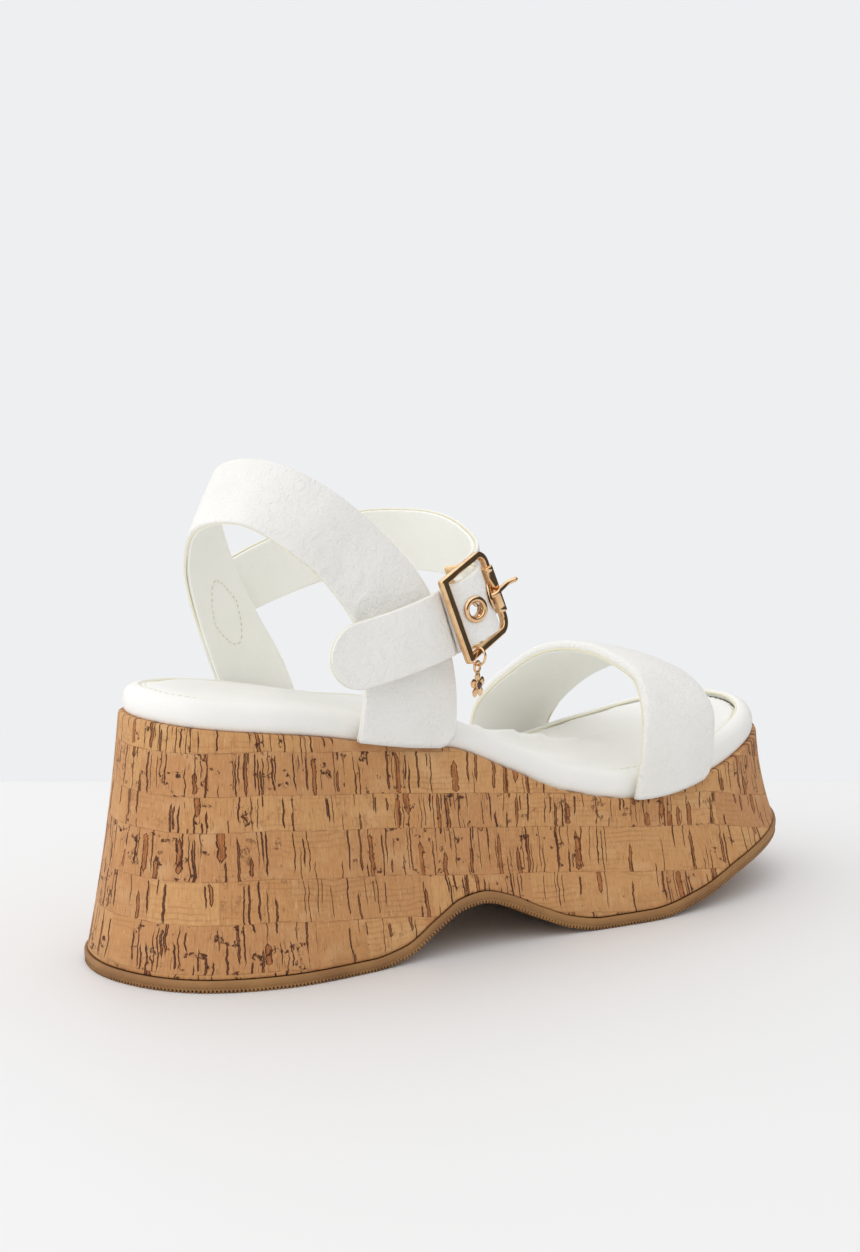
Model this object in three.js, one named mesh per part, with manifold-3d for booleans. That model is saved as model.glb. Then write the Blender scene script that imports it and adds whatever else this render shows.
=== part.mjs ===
// Wedge sandal for the right foot, in millimetres: +X to the toe, +Y to the inner side, +Z up.
import * as THREE from 'three';
import { mergeVertices } from 'three/addons/utils/BufferGeometryUtils.js';
import Module from 'manifold-3d';

const wasm = await Module();
wasm.setup();

// ---------------------------------------------------------------- driving dimensions
const clearance = 0.3;            // air between two pieces that touch on the real shoe

const footbed_length = 250;       // footbed, heel to toe
const heel_width = 64;            // footbed across the heel seat
const ball_width = 81;            // footbed across the ball of the foot
const heel_height = 80.5;         // floor to the top of the cork at the heel
const ball_height = 40.5;         // floor to the top of the cork under the ball
const toe_height = 52;            // floor to the top of the cork at the toe
const arch_rise = 15;             // height of the raised waist under the shoe
const toe_spring = 17;            // lift of the outsole at the toe
const heel_flare = 11;            // how far the heel spreads outward down to the floor
const toe_flare = 6.5;            // the same along the forefoot
const outsole_thickness = 4;
const outsole_lip = 1;            // outsole stands proud of the cork
const cork_thickness = 1;

const board_thickness = 2;
const footbed_height = 9;         // cork top to the top of the footbed
const rim_width = 5.2;            // edge of the footbed to its stitch line
const rim_leather = 1;
const rim_setback = 1.7;          // footbed edge lies this far inside the cork edge

const leather = 1.1;              // one layer of strap material
const vamp_padding = 1.3;
const vamp_width = 33;            // over the top of the toes
const heel_strap_width = 24.5;    // behind the heel
const ankle_strap_width = 21;

const buckle_length = 24.4;       // between the centres of the rear and front bars
const buckle_side_play = 1.6;     // strap edge to the side bars
const bar_radius = 1.1;
const rear_bar_width = 3.4;
const centre_bar_radius = 0.9;
const roller_radius = 2;
const roller_length = 15.6;
const prong_radius = 0.8;
const strap_hump = 2.3;           // strap's middle stands this far out between the buckle's bars
const hole_diameter = 5;          // free hole of an eyelet
const hole_pitch = 8.8;
const hole_count = 5;
const eyelet_flange = 7.8;
const eyelet_wall = 0.35;

const ring_radius = 2.9;
const ring_wire = 0.45;
const flower_radius = 4.3;
const flower_thickness = 1.6;

// The strap routes below are written for this foot, and follow the footbed when it changes.
const foot_length = 250;
const foot_heel_width = 64;
const foot_ball_width = 81;
const foot_heel_height = 80.5;
const foot_ball_height = 40.5;

// ---------------------------------------------------------------- small helpers
const V = (x, y, z) => new THREE.Vector3(x, y, z);
const mix = (a, b, t) => a + (b - a) * t;
const clamp01 = (t) => Math.min(1, Math.max(0, t));

// A smooth curve through [x, value] pairs that never overshoots, so flat stretches stay flat.
function smoothTable(pairs) {
  const steps = pairs.slice(1).map((p, i) => [p[0] - pairs[i][0], p[1] - pairs[i][1]]);
  const slopes = steps.map(([run, rise]) => rise / run);
  const tangents = pairs.map((p, i) => {
    const before = slopes[i - 1] ?? slopes[i];
    const after = slopes[i] ?? slopes[i - 1];
    return before * after <= 0 ? 0 : (2 * before * after) / (before + after);
  });
  return (x) => {
    if (x <= pairs[0][0]) return pairs[0][1];
    if (x >= pairs.at(-1)[0]) return pairs.at(-1)[1];
    const i = pairs.findIndex((p) => p[0] > x) - 1;
    const run = steps[i][0];
    const t = (x - pairs[i][0]) / run;
    const rise = t * t * (3 - 2 * t);
    const lean = t * (1 - t) * ((1 - t) * tangents[i] - t * tangents[i + 1]) * run;
    return mix(pairs[i][1], pairs[i + 1][1], rise) + lean;
  };
}

// Merges a mesh's corners, drops slivers, and turns its faces outward.
function closedBody(points, faces) {
  const geometry = new THREE.BufferGeometry();
  const flat = points.flatMap((p) => [p.x, p.y, p.z]);
  geometry.setAttribute('position', new THREE.Float32BufferAttribute(flat, 3));
  geometry.setIndex(faces.flat());
  const merged = mergeVertices(geometry, 1e-3);
  const index = merged.index.array;
  const corner = (i) => V().fromBufferAttribute(merged.attributes.position, i);
  const kept = [];
  let volume = 0;
  for (let i = 0; i < index.length; i += 3) {
    const [a, b, c] = [index[i], index[i + 1], index[i + 2]];
    if (a === b || b === c || a === c) continue;
    kept.push([a, b, c]);
    volume += corner(a).dot(corner(b).cross(corner(c)));
  }
  merged.setIndex(kept.flatMap(([a, b, c]) => (volume > 0 ? [a, b, c] : [a, c, b])));
  return merged;
}

// The same for a turned shape or a ring, whose two ends share their corners.
function closedRound(geometry) {
  const place = geometry.attributes.position;
  const index = [...geometry.index.array];
  const points = [];
  for (let i = 0; i < place.count; i++) points.push(V().fromBufferAttribute(place, i));
  const faces = [];
  for (let i = 0; i < index.length; i += 3) faces.push(index.slice(i, i + 3));
  return closedBody(points, faces);
}
const turned = (profile, sides) =>
  closedRound(new THREE.LatheGeometry(profile.map(([r, z]) => new THREE.Vector2(r, z)), sides));

// Skins a row of sections. Each section is a loop made of a row and the same row on the other
// side in reverse, so its cap is a strip between the two. Each wall quad is split along its
// shorter diagonal, so two skins that run side by side are split alike.
function loft(sections, ring = false) {
  const size = sections[0].length;
  const points = sections.flat();
  const faces = [];
  const spans = ring ? sections.length : sections.length - 1;
  for (let k = 0; k < spans; k++) {
    const a = k * size;
    const b = ((k + 1) % sections.length) * size;
    for (let j = 0; j < size; j++) {
      const next = (j + 1) % size;
      const rising = points[a + j].distanceTo(points[b + next]);
      const falling = points[a + next].distanceTo(points[b + j]);
      if (rising < falling) faces.push([a + j, b + j, b + next], [a + j, b + next, a + next]);
      else faces.push([a + j, b + j, a + next], [a + next, b + j, b + next]);
    }
  }
  if (!ring) {
    const end = (sections.length - 1) * size;
    for (let j = 0; j < size / 2 - 1; j++) {
      const far = size - 1 - j;
      faces.push([j, j + 1, far - 1], [j, far - 1, far]);
      faces.push([end + j, end + far - 1, end + j + 1], [end + j, end + far, end + far - 1]);
    }
  }
  return closedBody(points, faces);
}

function toManifold(geometry) {
  const bare = (geometry.index ? geometry.toNonIndexed() : geometry.clone());
  for (const name of Object.keys(bare.attributes)) if (name !== 'position') bare.deleteAttribute(name);
  const merged = mergeVertices(bare, 1e-4);
  return new wasm.Manifold(new wasm.Mesh({
    numProp: 3,
    vertProperties: new Float32Array(merged.attributes.position.array),
    triVerts: new Uint32Array(merged.index.array),
  }));
}

function fromManifold(solid) {
  const mesh = solid.getMesh();
  const geometry = new THREE.BufferGeometry();
  geometry.setAttribute('position', new THREE.BufferAttribute(mesh.vertProperties, 3));
  geometry.setIndex(new THREE.BufferAttribute(mesh.triVerts, 1));
  return geometry;
}

const join = (first, ...rest) =>
  fromManifold(rest.reduce((solid, g) => solid.add(toManifold(g)), toManifold(first)));
const cut = (first, ...rest) =>
  fromManifold(rest.reduce((solid, g) => solid.subtract(toManifold(g)), toManifold(first)));

// A round rod between two points.
function rod(from, to, radius, sides = 10) {
  const along = to.clone().sub(from);
  const turn = new THREE.Quaternion().setFromUnitVectors(V(0, 1, 0), along.clone().normalize());
  const centre = from.clone().add(to).multiplyScalar(0.5);
  return new THREE.CylinderGeometry(radius, radius, along.length(), sides)
    .applyQuaternion(turn)
    .translate(centre.x, centre.y, centre.z);
}

// A round bar bent along a curve.
function bentBar(points, radius, steps, sides = 8) {
  const section = new THREE.Shape();
  for (let i = 0; i < sides; i++) {
    const angle = (2 * Math.PI * i) / sides;
    const [x, y] = [radius * Math.cos(angle), radius * Math.sin(angle)];
    if (i) section.lineTo(x, y);
    else section.moveTo(x, y);
  }
  const path = new THREE.CatmullRomCurve3(points, false, 'centripetal');
  return new THREE.ExtrudeGeometry(section, { steps, bevelEnabled: false, extrudePath: path });
}

const sandal = new THREE.Group();
const finishes = {
  white_leather: [0xf2f0ea, 0.5, 0],
  ivory_lining: [0xe9e9da, 0.6, 0],
  cork: [0xc79b63, 0.75, 0],
  tan_rubber: [0xa98259, 0.7, 0],
  foam: [0xe6dfcb, 0.9, 0],
  fibreboard: [0xa58a66, 0.85, 0],
  rose_gold: [0xdca983, 0.2, 1],
  dark_stone: [0x3a2620, 0.15, 0],
};

function add(name, geometry, finish, group = sandal) {
  const [color, roughness, metalness] = finishes[finish];
  const shaded = geometry.toNonIndexed();
  shaded.computeVertexNormals();
  const mesh = new THREE.Mesh(shaded, new THREE.MeshStandardMaterial({ color, roughness, metalness }));
  mesh.name = name;
  group.add(mesh);
  return mesh;
}

// ---------------------------------------------------------------- plan of the sole
const stretch = footbed_length / foot_length;
const heel_ratio = heel_width / foot_heel_width;
const ball_ratio = ball_width / foot_ball_width;
const widthRatio = (x) => mix(heel_ratio, ball_ratio, clamp01((x / stretch - 60) / 80));
const plan_points = [
  [0, 0], [8, -21], [30, -32], [70, -32.5], [110, -34], [150, -39.7], [180, -41], [215, -33.2],
  [240, -16.6], [250, 3.7], [246, 22], [225, 35], [195, 39.7], [165, 35.5], [125, 26.5], [85, 27],
  [50, 30.5], [25, 31], [6, 19],
];
const plan_curve = new THREE.CatmullRomCurve3(
  plan_points.map(([x, y]) => V(x * stretch, y * widthRatio(x * stretch), 0)), true, 'centripetal');
const rows = 24;
const plan_line = plan_curve.getPoints(600).slice(0, 600);

// The outer (lateral) or inner (medial) edge of the plan as evenly turning points with normals.
function planSide(inner) {
  const tip = plan_line.reduce((best, p, i) => (p.x > plan_line[best].x ? i : best), 0);
  const tail = plan_line.reduce((best, p, i) => (p.x < plan_line[best].x ? i : best), 0);
  const line = [];
  for (let i = tail; ; i += inner ? -1 : 1) {
    const k = (i + plan_line.length) % plan_line.length;
    line.push(plan_line[k]);
    if (k === tip) break;
  }
  const [start, end] = [line[0].x, line.at(-1).x];
  const edge = [];
  for (let i = 0; i <= rows; i++) {
    const x = mix(start, end, (1 - Math.cos((Math.PI * i) / rows)) / 2);
    let k = line.findIndex((p) => p.x >= x);
    k = Math.max(1, k < 0 ? line.length - 1 : k);
    const t = clamp01((x - line[k - 1].x) / (line[k].x - line[k - 1].x || 1));
    const point = line[k - 1].clone().lerp(line[k], t);
    const along = line[Math.min(k + 1, line.length - 1)].clone().sub(line[Math.max(k - 2, 0)]).normalize();
    const normal = inner ? V(-along.y, along.x, 0) : V(along.y, -along.x, 0);
    if (i === 0) normal.set(-1, 0, 0);
    if (i === rows) normal.set(1, 0, 0);
    edge.push({ point, normal });
  }
  return edge;
}
const outer_edge = planSide(false);
const inner_edge = planSide(true);

// One level of the sole: the plan moved outward by offset(x), at height(x).
function level(offset, height) {
  const place = ({ point, normal }) => {
    const spot = point.clone().addScaledVector(normal, offset(point.x));
    return spot.setZ(height(spot.x));
  };
  return [...outer_edge.map(place), ...inner_edge.map(place).reverse()];
}

// ---------------------------------------------------------------- side profile of the sole
const height_ratio = heel_height / foot_heel_height;
const corkTop = smoothTable([
  [0, heel_height], [40, mix(ball_height, heel_height, 0.875)], [78, mix(ball_height, heel_height, 0.68)],
  [98, mix(ball_height, heel_height, 0.6)], [120, mix(ball_height, heel_height, 0.36)],
  [140, mix(ball_height, heel_height, 0.135)], [168, ball_height], [200, mix(ball_height, toe_height, 0.28)],
  [225, mix(ball_height, toe_height, 0.67)], [250, toe_height],
].map(([x, z]) => [x * stretch, z]));
const treadHeight = smoothTable([
  [0, 0], [60, 0], [72, 0.12 * arch_rise], [86, 0.63 * arch_rise], [95, 0.93 * arch_rise], [103, arch_rise],
  [113, 0.83 * arch_rise], [125, 0.46 * arch_rise], [138, 0.12 * arch_rise], [149, 0], [168, 0],
  [190, 0.2 * toe_spring], [213, 0.59 * toe_spring], [256, toe_spring],
].map(([x, z]) => [x * stretch, z]));
const flare = (x) => mix(heel_flare, toe_flare, clamp01((x / stretch - 60) / 80));
const corkBottom = (x) => treadHeight(x) + outsole_thickness + clearance;

add('outsole', loft([
  level((x) => flare(x) - 0.6, treadHeight),
  level((x) => flare(x) + outsole_lip, (x) => treadHeight(x) + 1.4),
  level((x) => flare(x) + outsole_lip, (x) => treadHeight(x) + outsole_thickness - 0.6),
  level((x) => flare(x) + outsole_lip - 0.5, (x) => treadHeight(x) + outsole_thickness),
]), 'tan_rubber');

// The wall of the wedge from the floor up, drawn in slightly at half height.
const wall_hollow = 1.1;
function wallLevel(rise, inset) {
  const gap = clearance / 2;
  return level(
    (x) => flare(x) * (1 - rise) - wall_hollow * 4 * rise * (1 - rise) - inset,
    (x) => mix(corkBottom(x), corkTop(x) - gap, rise));
}
const wall_rises = [0, 0.3, 0.6, 0.85, 1];
add('cork_wrap', loft([
  ...wall_rises.map((rise) => wallLevel(rise, 0)),
  ...wall_rises.map((rise) => wallLevel(rise, cork_thickness)).reverse(),
], true), 'cork');
add('platform_core', loft(wall_rises.map((rise) => wallLevel(rise, cork_thickness + clearance))), 'foam');

// ---------------------------------------------------------------- footbed
const above = (rise) => (x) => corkTop(x) + rise;
const inside = (inset) => () => -rim_setback - inset;
const rim_top = footbed_height;
const rim_outside = [
  [0.3, clearance], [-0.4, 2.6], [-0.1, rim_top - 3.6], [1.3, rim_top - 1.4], [3.2, rim_top - 0.3],
  [rim_width, rim_top],
];
const rim_inside = [
  [rim_width, rim_top - rim_leather], [3.6, rim_top - rim_leather - 0.3], [2.1, rim_top - rim_leather - 1.2],
  [1, rim_top - 4], [0.8, 2.6], [1.4, clearance],
];
const foam_edge = 1.5 + rim_leather;
add('insole_board', loft([
  level(inside(foam_edge), above(clearance)),
  level(inside(foam_edge), above(clearance + board_thickness)),
]), 'fibreboard');
add('footbed_foam', loft([
  level(inside(foam_edge), above(2 * clearance + board_thickness)),
  level(inside(foam_edge), above(rim_top - rim_leather - 3)),
  level(inside(foam_edge + 1), above(rim_top - rim_leather - 1.4)),
  level(inside(foam_edge + 2.6), above(rim_top - rim_leather - 0.6)),
]), 'foam');
add('footbed_rim', loft(
  [...rim_outside, ...rim_inside].map(([inset, rise]) => level(inside(inset), above(rise))), true),
'white_leather');
add('sock_cover', loft([
  level(inside(rim_width + clearance), above(rim_top - rim_leather - 0.2)),
  level(inside(rim_width + clearance), above(rim_top - 0.3)),
  level(inside(rim_width + 2), above(rim_top + 0.2)),
  level(inside(rim_width + 8), above(rim_top + 0.5)),
]), 'white_leather');

// ---------------------------------------------------------------- straps
// A station is [x, y, z, outward x, y, z, width share, crown]: a point on the middle line of a
// strap, the way its outside faces there, its width as a share of the strap's, and how far its
// middle stands proud of its edges.
const ball_drop = ball_height - foot_ball_height;
const heel_drop = heel_height - foot_heel_height;
function onThisFoot([x, y, z, ...rest]) {
  const lift = mix(heel_drop, ball_drop, clamp01((x - 40) / 130));
  return [x * stretch, y * widthRatio(x * stretch), z + lift, ...rest];
}

// Smooth frames along a strap: point, along, outward and across, at share t of its stations.
function route(stations) {
  const curve = (pick) => new THREE.CatmullRomCurve3(stations.map(pick), false, 'centripetal');
  const centre = curve((s) => V(s[0], s[1], s[2]));
  const facing = stations.map((s) => V(s[3], s[4], s[5]).normalize());
  const extra = stations.map((s) => [s[6], s[7]]);
  const blend = (list, t, between) => {
    const place = clamp01(t) * (list.length - 1);
    const i = Math.min(Math.floor(place), list.length - 2);
    const share = place - i;
    return between(list[i], list[i + 1], share * share * (3 - 2 * share));
  };
  return (t) => {
    const point = centre.getPoint(t);
    const along = centre.getTangent(t);
    const rough = blend(facing, t, (a, b, s) => a.clone().lerp(b, s));
    const across = V().crossVectors(rough, along).normalize();
    const outward = V().crossVectors(along, across).normalize();
    const [width, crown] = blend(extra, t, (a, b, s) => [mix(a[0], b[0], s), mix(a[1], b[1], s)]);
    return { point, along, outward, across, width, crown };
  };
}

// One layer of a strap between two depths along its outward direction.
function strapLayer(frameAt, width, low, high,
  { steps = 24, cells = 4, from = 0, to = 1, trim = 0, round_end = false } = {}) {
  const end = frameAt(to).point;
  const section = (t) => {
    const f = frameAt(t);
    let half = (f.width * width) / 2;
    if (round_end) {
      const left = Math.min(half, f.point.distanceTo(end) + 0.02);
      half = Math.sqrt(half * half - (half - left) ** 2);
    }
    half -= trim;
    const at = (share, depth) => f.point.clone()
      .addScaledVector(f.across, share * half)
      .addScaledVector(f.outward, depth + f.crown * (1 - share * share));
    const row = [];
    for (let j = 0; j <= cells; j++) row.push(-1 + (2 * j) / cells);
    return [...row.map((s) => at(s, high)), ...row.map((s) => at(s, low)).reverse()];
  };
  const sections = [];
  for (let k = 0; k <= steps; k++) {
    const share = round_end ? Math.sin((Math.PI / 2) * (k / steps)) : k / steps;
    sections.push(section(mix(from, to, share)));
  }
  return loft(sections);
}

// What a strap end is trimmed to: the top of the cork, and the rim of the footbed.
const cork_trim = loft([
  level(() => 3 * heel_flare, above(-25)),
  level(() => 3 * heel_flare, above(clearance)),
]);
const rim_trim = loft(rim_outside.map(([inset, rise], i) =>
  level(inside(inset - clearance), above(rise + (i ? clearance : -2)))));
const seated = (strap) => cut(strap, cork_trim, rim_trim);

// Vamp strap, from the outer side of the sole over the toes to the inner side.
const vamp_stations = [
  [181.5, -40.3, 34, 0.05, -1, 0, 1.03, 0.9], [183.5, -42.4, 55, 0.05, -1, 0.1, 1, 0.9],
  [185.5, -39.2, 67.5, 0.15, -0.86, 0.48, 0.98, 0.9], [187, -31, 75.5, 0.26, -0.55, 0.79, 0.94, 0.9],
  [186, -19, 80, 0.26, -0.24, 0.93, 0.9, 0.9], [185, -6, 81.7, 0.26, 0, 0.97, 0.9, 0.9],
  [184.5, 7, 80.5, 0.23, 0.22, 0.94, 0.97, 0.9], [184, 19, 76.5, 0.16, 0.47, 0.86, 1.07, 0.9],
  [181.5, 29.5, 69.5, 0.05, 0.7, 0.71, 1.14, 0.9], [177.5, 36.5, 61, 0, 0.86, 0.52, 1.18, 0.9],
  [174, 39.5, 51.5, 0, 0.98, 0.2, 1.18, 0.9], [172.5, 38.6, 36, 0, 1, 0, 1.18, 0.9],
].map(onThisFoot);
const vamp_route = route(vamp_stations);
const vamp_half = (2 * leather + vamp_padding + 2 * clearance) / 2;
add('vamp_strap_outer', seated(strapLayer(vamp_route, vamp_width, vamp_half - leather, vamp_half)),
  'white_leather');
const padding_top = vamp_half - leather - clearance;
add('vamp_strap_padding', seated(strapLayer(vamp_route, vamp_width, padding_top - vamp_padding, padding_top,
  { trim: 2 })), 'foam');
add('vamp_strap_lining', seated(strapLayer(vamp_route, vamp_width, -vamp_half, leather - vamp_half,
  { trim: 0.4 })), 'ivory_lining');

// Heel strap, from the outer side, round behind the heel, to the inner side.
const heel_stations = [
  [77.5, -33.4, 58, 0, -1, 0, 1.5, 0.2], [79, -35.6, 86, 0, -1, 0.02, 1.34, 0.2],
  [74.5, -34.2, 109, 0, -0.99, 0.1, 1.16, 0.2], [62, -32, 127, -0.03, -0.99, 0.17, 1.03, 0.2],
  [47, -28.5, 141, -0.15, -0.93, 0.33, 1, 0.2], [33, -18.5, 149.5, -0.5, -0.55, 0.66, 0.98, 0.2],
  [27.5, -2, 146.5, -0.78, 0.1, 0.6, 1, 0.2], [34, 14, 131, -0.62, 0.72, 0.3, 1, 0.2],
  [43.5, 23, 114, -0.4, 0.9, 0.15, 0.96, 0.2], [54, 28.5, 97, -0.22, 0.97, 0.1, 0.96, 0.2],
  [63, 30.6, 81, -0.05, 1, 0.05, 1.02, 0.2], [69.5, 28.8, 62, -0.05, 1, 0, 1.05, 0.2],
].map(onThisFoot);
const heel_route = route(heel_stations);
const strap_half = leather + clearance / 2;
const outerLayer = (frameAt, width, part) => strapLayer(frameAt, width, clearance / 2, strap_half, part);
const liningLayer = (frameAt, width, part) =>
  strapLayer(frameAt, width, -strap_half, -clearance / 2, { ...part, trim: 0.3 });
const heel_part = { steps: 28, cells: 3 };
add('heel_strap_outer', seated(outerLayer(heel_route, heel_strap_width, heel_part)), 'white_leather');
add('heel_strap_lining', seated(liningLayer(heel_route, heel_strap_width, heel_part)), 'ivory_lining');

// ---------------------------------------------------------------- buckle place and axes
const [centre_x, centre_y, centre_z] = onThisFoot([102.4, -38.5, 111.1]);
const buckle_centre = V(centre_x, centre_y, centre_z);
const ahead = V(0.875, 0.394, 0.281).normalize();       // along the strap, to the front
const outward = V(0.348, -0.916, 0.201).cross(ahead).cross(ahead).negate().normalize();
const upward = V().crossVectors(outward, ahead).normalize();
const buckleToWorld = (s, h, n) => buckle_centre.clone()
  .addScaledVector(ahead, s).addScaledVector(upward, h).addScaledVector(outward, n);

const half_length = buckle_length / 2;
const half_height = ankle_strap_width / 2 + buckle_side_play + bar_radius;
const bar_play = 1;                                     // lets the frame rock over the strap
const roller_play = 0.4;                                // the same over an eyelet at the roller
const flange_gap = 0.72;                                // an eyelet's flange over a curved strap
const eyelet_crown = 0.8;                               // height of its outer flange
const eyelet_foot = 0.4;                                // thickness of its inner flange
const depth_at_rear = -(bar_radius + bar_play + strap_half);
const dive = THREE.MathUtils.degToRad(46);              // the strap slants down past the roller
const depth_at_front =
  -(roller_radius + roller_play + clearance + eyelet_crown + flange_gap + strap_half) / Math.cos(dive);
const depth_at_centre = -0.6;                           // strap's middle if it lay flat over the bar
const prong_ring_wire = 0.6;
const prong_ring = centre_bar_radius + clearance + prong_ring_wire;
const centre_bar_depth = depth_at_centre - strap_half - flange_gap - eyelet_foot - clearance
  - prong_ring - prong_ring_wire;

// ---------------------------------------------------------------- ankle strap
const buckleStation = (s, n, width = 1) =>
  [...buckleToWorld(s, 0, n).toArray(), ...outward.toArray(), width, 0];
const strap_stations = [
  ...[
    [46, 28.2, 108.5, -0.3, 0.94, 0.1, 1, 0], [60, 32, 112.8, -0.1, 0.98, 0.08, 1, 0],
    [76, 33.4, 117.4, 0.02, 1, 0.05, 1, 0], [91, 32.6, 121, 0.15, 0.98, 0.08, 1, 0],
    [105.5, 28.4, 123.4, 0.5, 0.84, 0.12, 1, 0], [116, 19, 124.2, 0.85, 0.5, 0.16, 1, 0],
    [120.2, 6, 124, 0.98, 0.05, 0.16, 1, 0], [119.8, -8.5, 121.6, 0.95, -0.25, 0.16, 1, 0],
    [116.8, -21, 117.8, 0.82, -0.56, 0.18, 1, 0],
  ].map(onThisFoot),
  buckleStation(half_length, depth_at_front),
  buckleStation(half_length * 0.5, strap_hump * 0.2),
  buckleStation(half_length * 0.04, strap_hump),
  buckleStation(-half_length, depth_at_rear),
  ...[
    [80, -42.7, 104.9, 0.12, -0.98, 0.1, 1, 0], [70, -43.2, 102.8, 0.02, -1, 0.06, 1, 0],
    [58, -42.5, 100.5, -0.06, -1, 0.03, 1, 0], [46.2, -41.3, 98.4, -0.1, -1, 0, 1, 0],
  ].map(onThisFoot),
];
const strap_route = route(strap_stations);
const tail_count = 4;                                   // stations past the rear bar
const rear_share = (strap_stations.length - 1 - tail_count) / (strap_stations.length - 1);

// Share of the route at a distance before (or, below zero, past) the rear bar.
function beforeRearBar(distance) {
  const way = distance < 0 ? 1 : -1;
  const stride = 0.0005;
  let share = rear_share;
  let walked = 0;
  while (walked < Math.abs(distance)) {
    walked += strap_route(share).point.distanceTo(strap_route(share + way * stride).point);
    share += way * stride;
  }
  return share;
}
const first_hole = 0.82 * half_length;                  // along the strap, from the rear bar
const eyelet_frames = [];
for (let i = 0; i < hole_count; i++) {
  eyelet_frames.push(strap_route(beforeRearBar(first_hole + i * hole_pitch)));
}

// Each eyelet's barrel goes through a hole, and its flanges press into the strap where it bends.
const barrel_radius = hole_diameter / 2 + eyelet_wall;
const flange = eyelet_flange / 2;
const flange_top = strap_half + flange_gap;
const hole_tools = eyelet_frames.flatMap(({ point, outward: up }) => {
  const above = (height) => point.clone().addScaledVector(up, height);
  const seat = flange_top - clearance;
  return [
    rod(above(-2 * strap_half), above(2 * strap_half), barrel_radius + clearance, 12),
    rod(above(seat), above(seat + 2 * strap_half), flange + clearance, 16),
    rod(above(-seat), above(-seat - 2 * strap_half), flange + clearance, 16),
  ];
});
const ankle_part = { steps: 40, cells: 2, to: rear_share };
const ankle_outer = outerLayer(strap_route, ankle_strap_width, ankle_part);
const ankle_lining = liningLayer(strap_route, ankle_strap_width, ankle_part);
add('ankle_strap_outer', cut(ankle_outer, ...hole_tools), 'white_leather');
add('ankle_strap_lining', cut(ankle_lining, ...hole_tools), 'ivory_lining');

// Free end of the strap, past the rear bar.
const tail_part = { steps: 16, cells: 2, from: beforeRearBar(-2 * clearance), round_end: true };
add('strap_tail_outer', outerLayer(strap_route, ankle_strap_width, tail_part), 'white_leather');
add('strap_tail_lining', liningLayer(strap_route, ankle_strap_width, tail_part), 'ivory_lining');

// Eyelets: a barrel through the strap, a domed flange outside and a flat one inside.
const bore = hole_diameter / 2;
const inner_flange = flange - 0.7;
const flange_foot = -flange_top;
const eyelet_profile = [
  [bore, flange_foot - eyelet_foot], [bore, flange_top + 0.6 * eyelet_crown],
  [mix(bore, flange, 0.5), flange_top + eyelet_crown], [flange, flange_top + 0.45 * eyelet_crown],
  [flange, flange_top], [barrel_radius, flange_top], [barrel_radius, flange_foot],
  [inner_flange, flange_foot], [inner_flange, flange_foot - eyelet_foot], [bore, flange_foot - eyelet_foot],
];
eyelet_frames.forEach(({ point, outward: up }, i) => {
  const eyelet = add('eyelet_' + (i + 1), turned(eyelet_profile, 14), 'rose_gold');
  eyelet.position.copy(point);
  eyelet.quaternion.setFromUnitVectors(V(0, 1, 0), up);
});

// ---------------------------------------------------------------- buckle
const buckle = new THREE.Group();
buckle.position.copy(buckle_centre);
buckle.quaternion.setFromRotationMatrix(new THREE.Matrix4().makeBasis(ahead, upward, outward));
buckle.updateMatrix();
sandal.add(buckle);

const corner = 4;                                       // radius of the frame's front corners
const turn = corner * (1 - Math.SQRT1_2);
const loop_points = [
  [-half_length, half_height], [0, half_height], [half_length - corner, half_height],
  [half_length - turn, half_height - turn], [half_length, half_height - corner], [half_length, 0],
  [half_length, corner - half_height], [half_length - turn, turn - half_height],
  [half_length - corner, -half_height], [0, -half_height], [-half_length, -half_height],
].map(([s, h]) => V(s, h, 0));
const bevel = bar_radius / 2;
const rear_half = rear_bar_width / 2;
const rear_corners = [
  [rear_half - bevel, -bar_radius], [rear_half, bevel - bar_radius],
  [rear_half, bar_radius - bevel], [rear_half - bevel, bar_radius],
];
const rear_section = new THREE.Shape([
  ...rear_corners, ...rear_corners.map(([s, n]) => [-s, -n]),
].map(([s, n]) => new THREE.Vector2(s, n)));
const rear_length = 2 * (half_height + bar_radius) + clearance;
const rear_bar = new THREE.ExtrudeGeometry(rear_section, { depth: rear_length, bevelEnabled: false })
  .rotateX(-Math.PI / 2)
  .translate(-half_length, -rear_length / 2, 0);
const ear_end = centre_bar_depth - centre_bar_radius / 2;
const ears = [-1, 1].map((side) =>
  rod(V(0, side * half_height, 0), V(0, side * half_height, ear_end), centre_bar_radius));
const centre_bar =
  rod(V(0, -half_height, centre_bar_depth), V(0, half_height, centre_bar_depth), centre_bar_radius);
const frame_loop = bentBar(loop_points, bar_radius, 34);
add('buckle_frame', join(frame_loop, rear_bar, ...ears, centre_bar), 'rose_gold', buckle);

const roller_bore = bar_radius + 0.4;
const roller_half = roller_length / 2;
const roller_edge = 0.25;
const roller = add('buckle_roller', turned([
  [roller_bore, -roller_half], [roller_radius - roller_edge, -roller_half],
  [roller_radius, roller_edge - roller_half], [roller_radius, roller_half - roller_edge],
  [roller_radius - roller_edge, roller_half], [roller_bore, roller_half], [roller_bore, -roller_half],
], 16), 'rose_gold', buckle);
roller.position.set(half_length, 0, 0);

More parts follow.
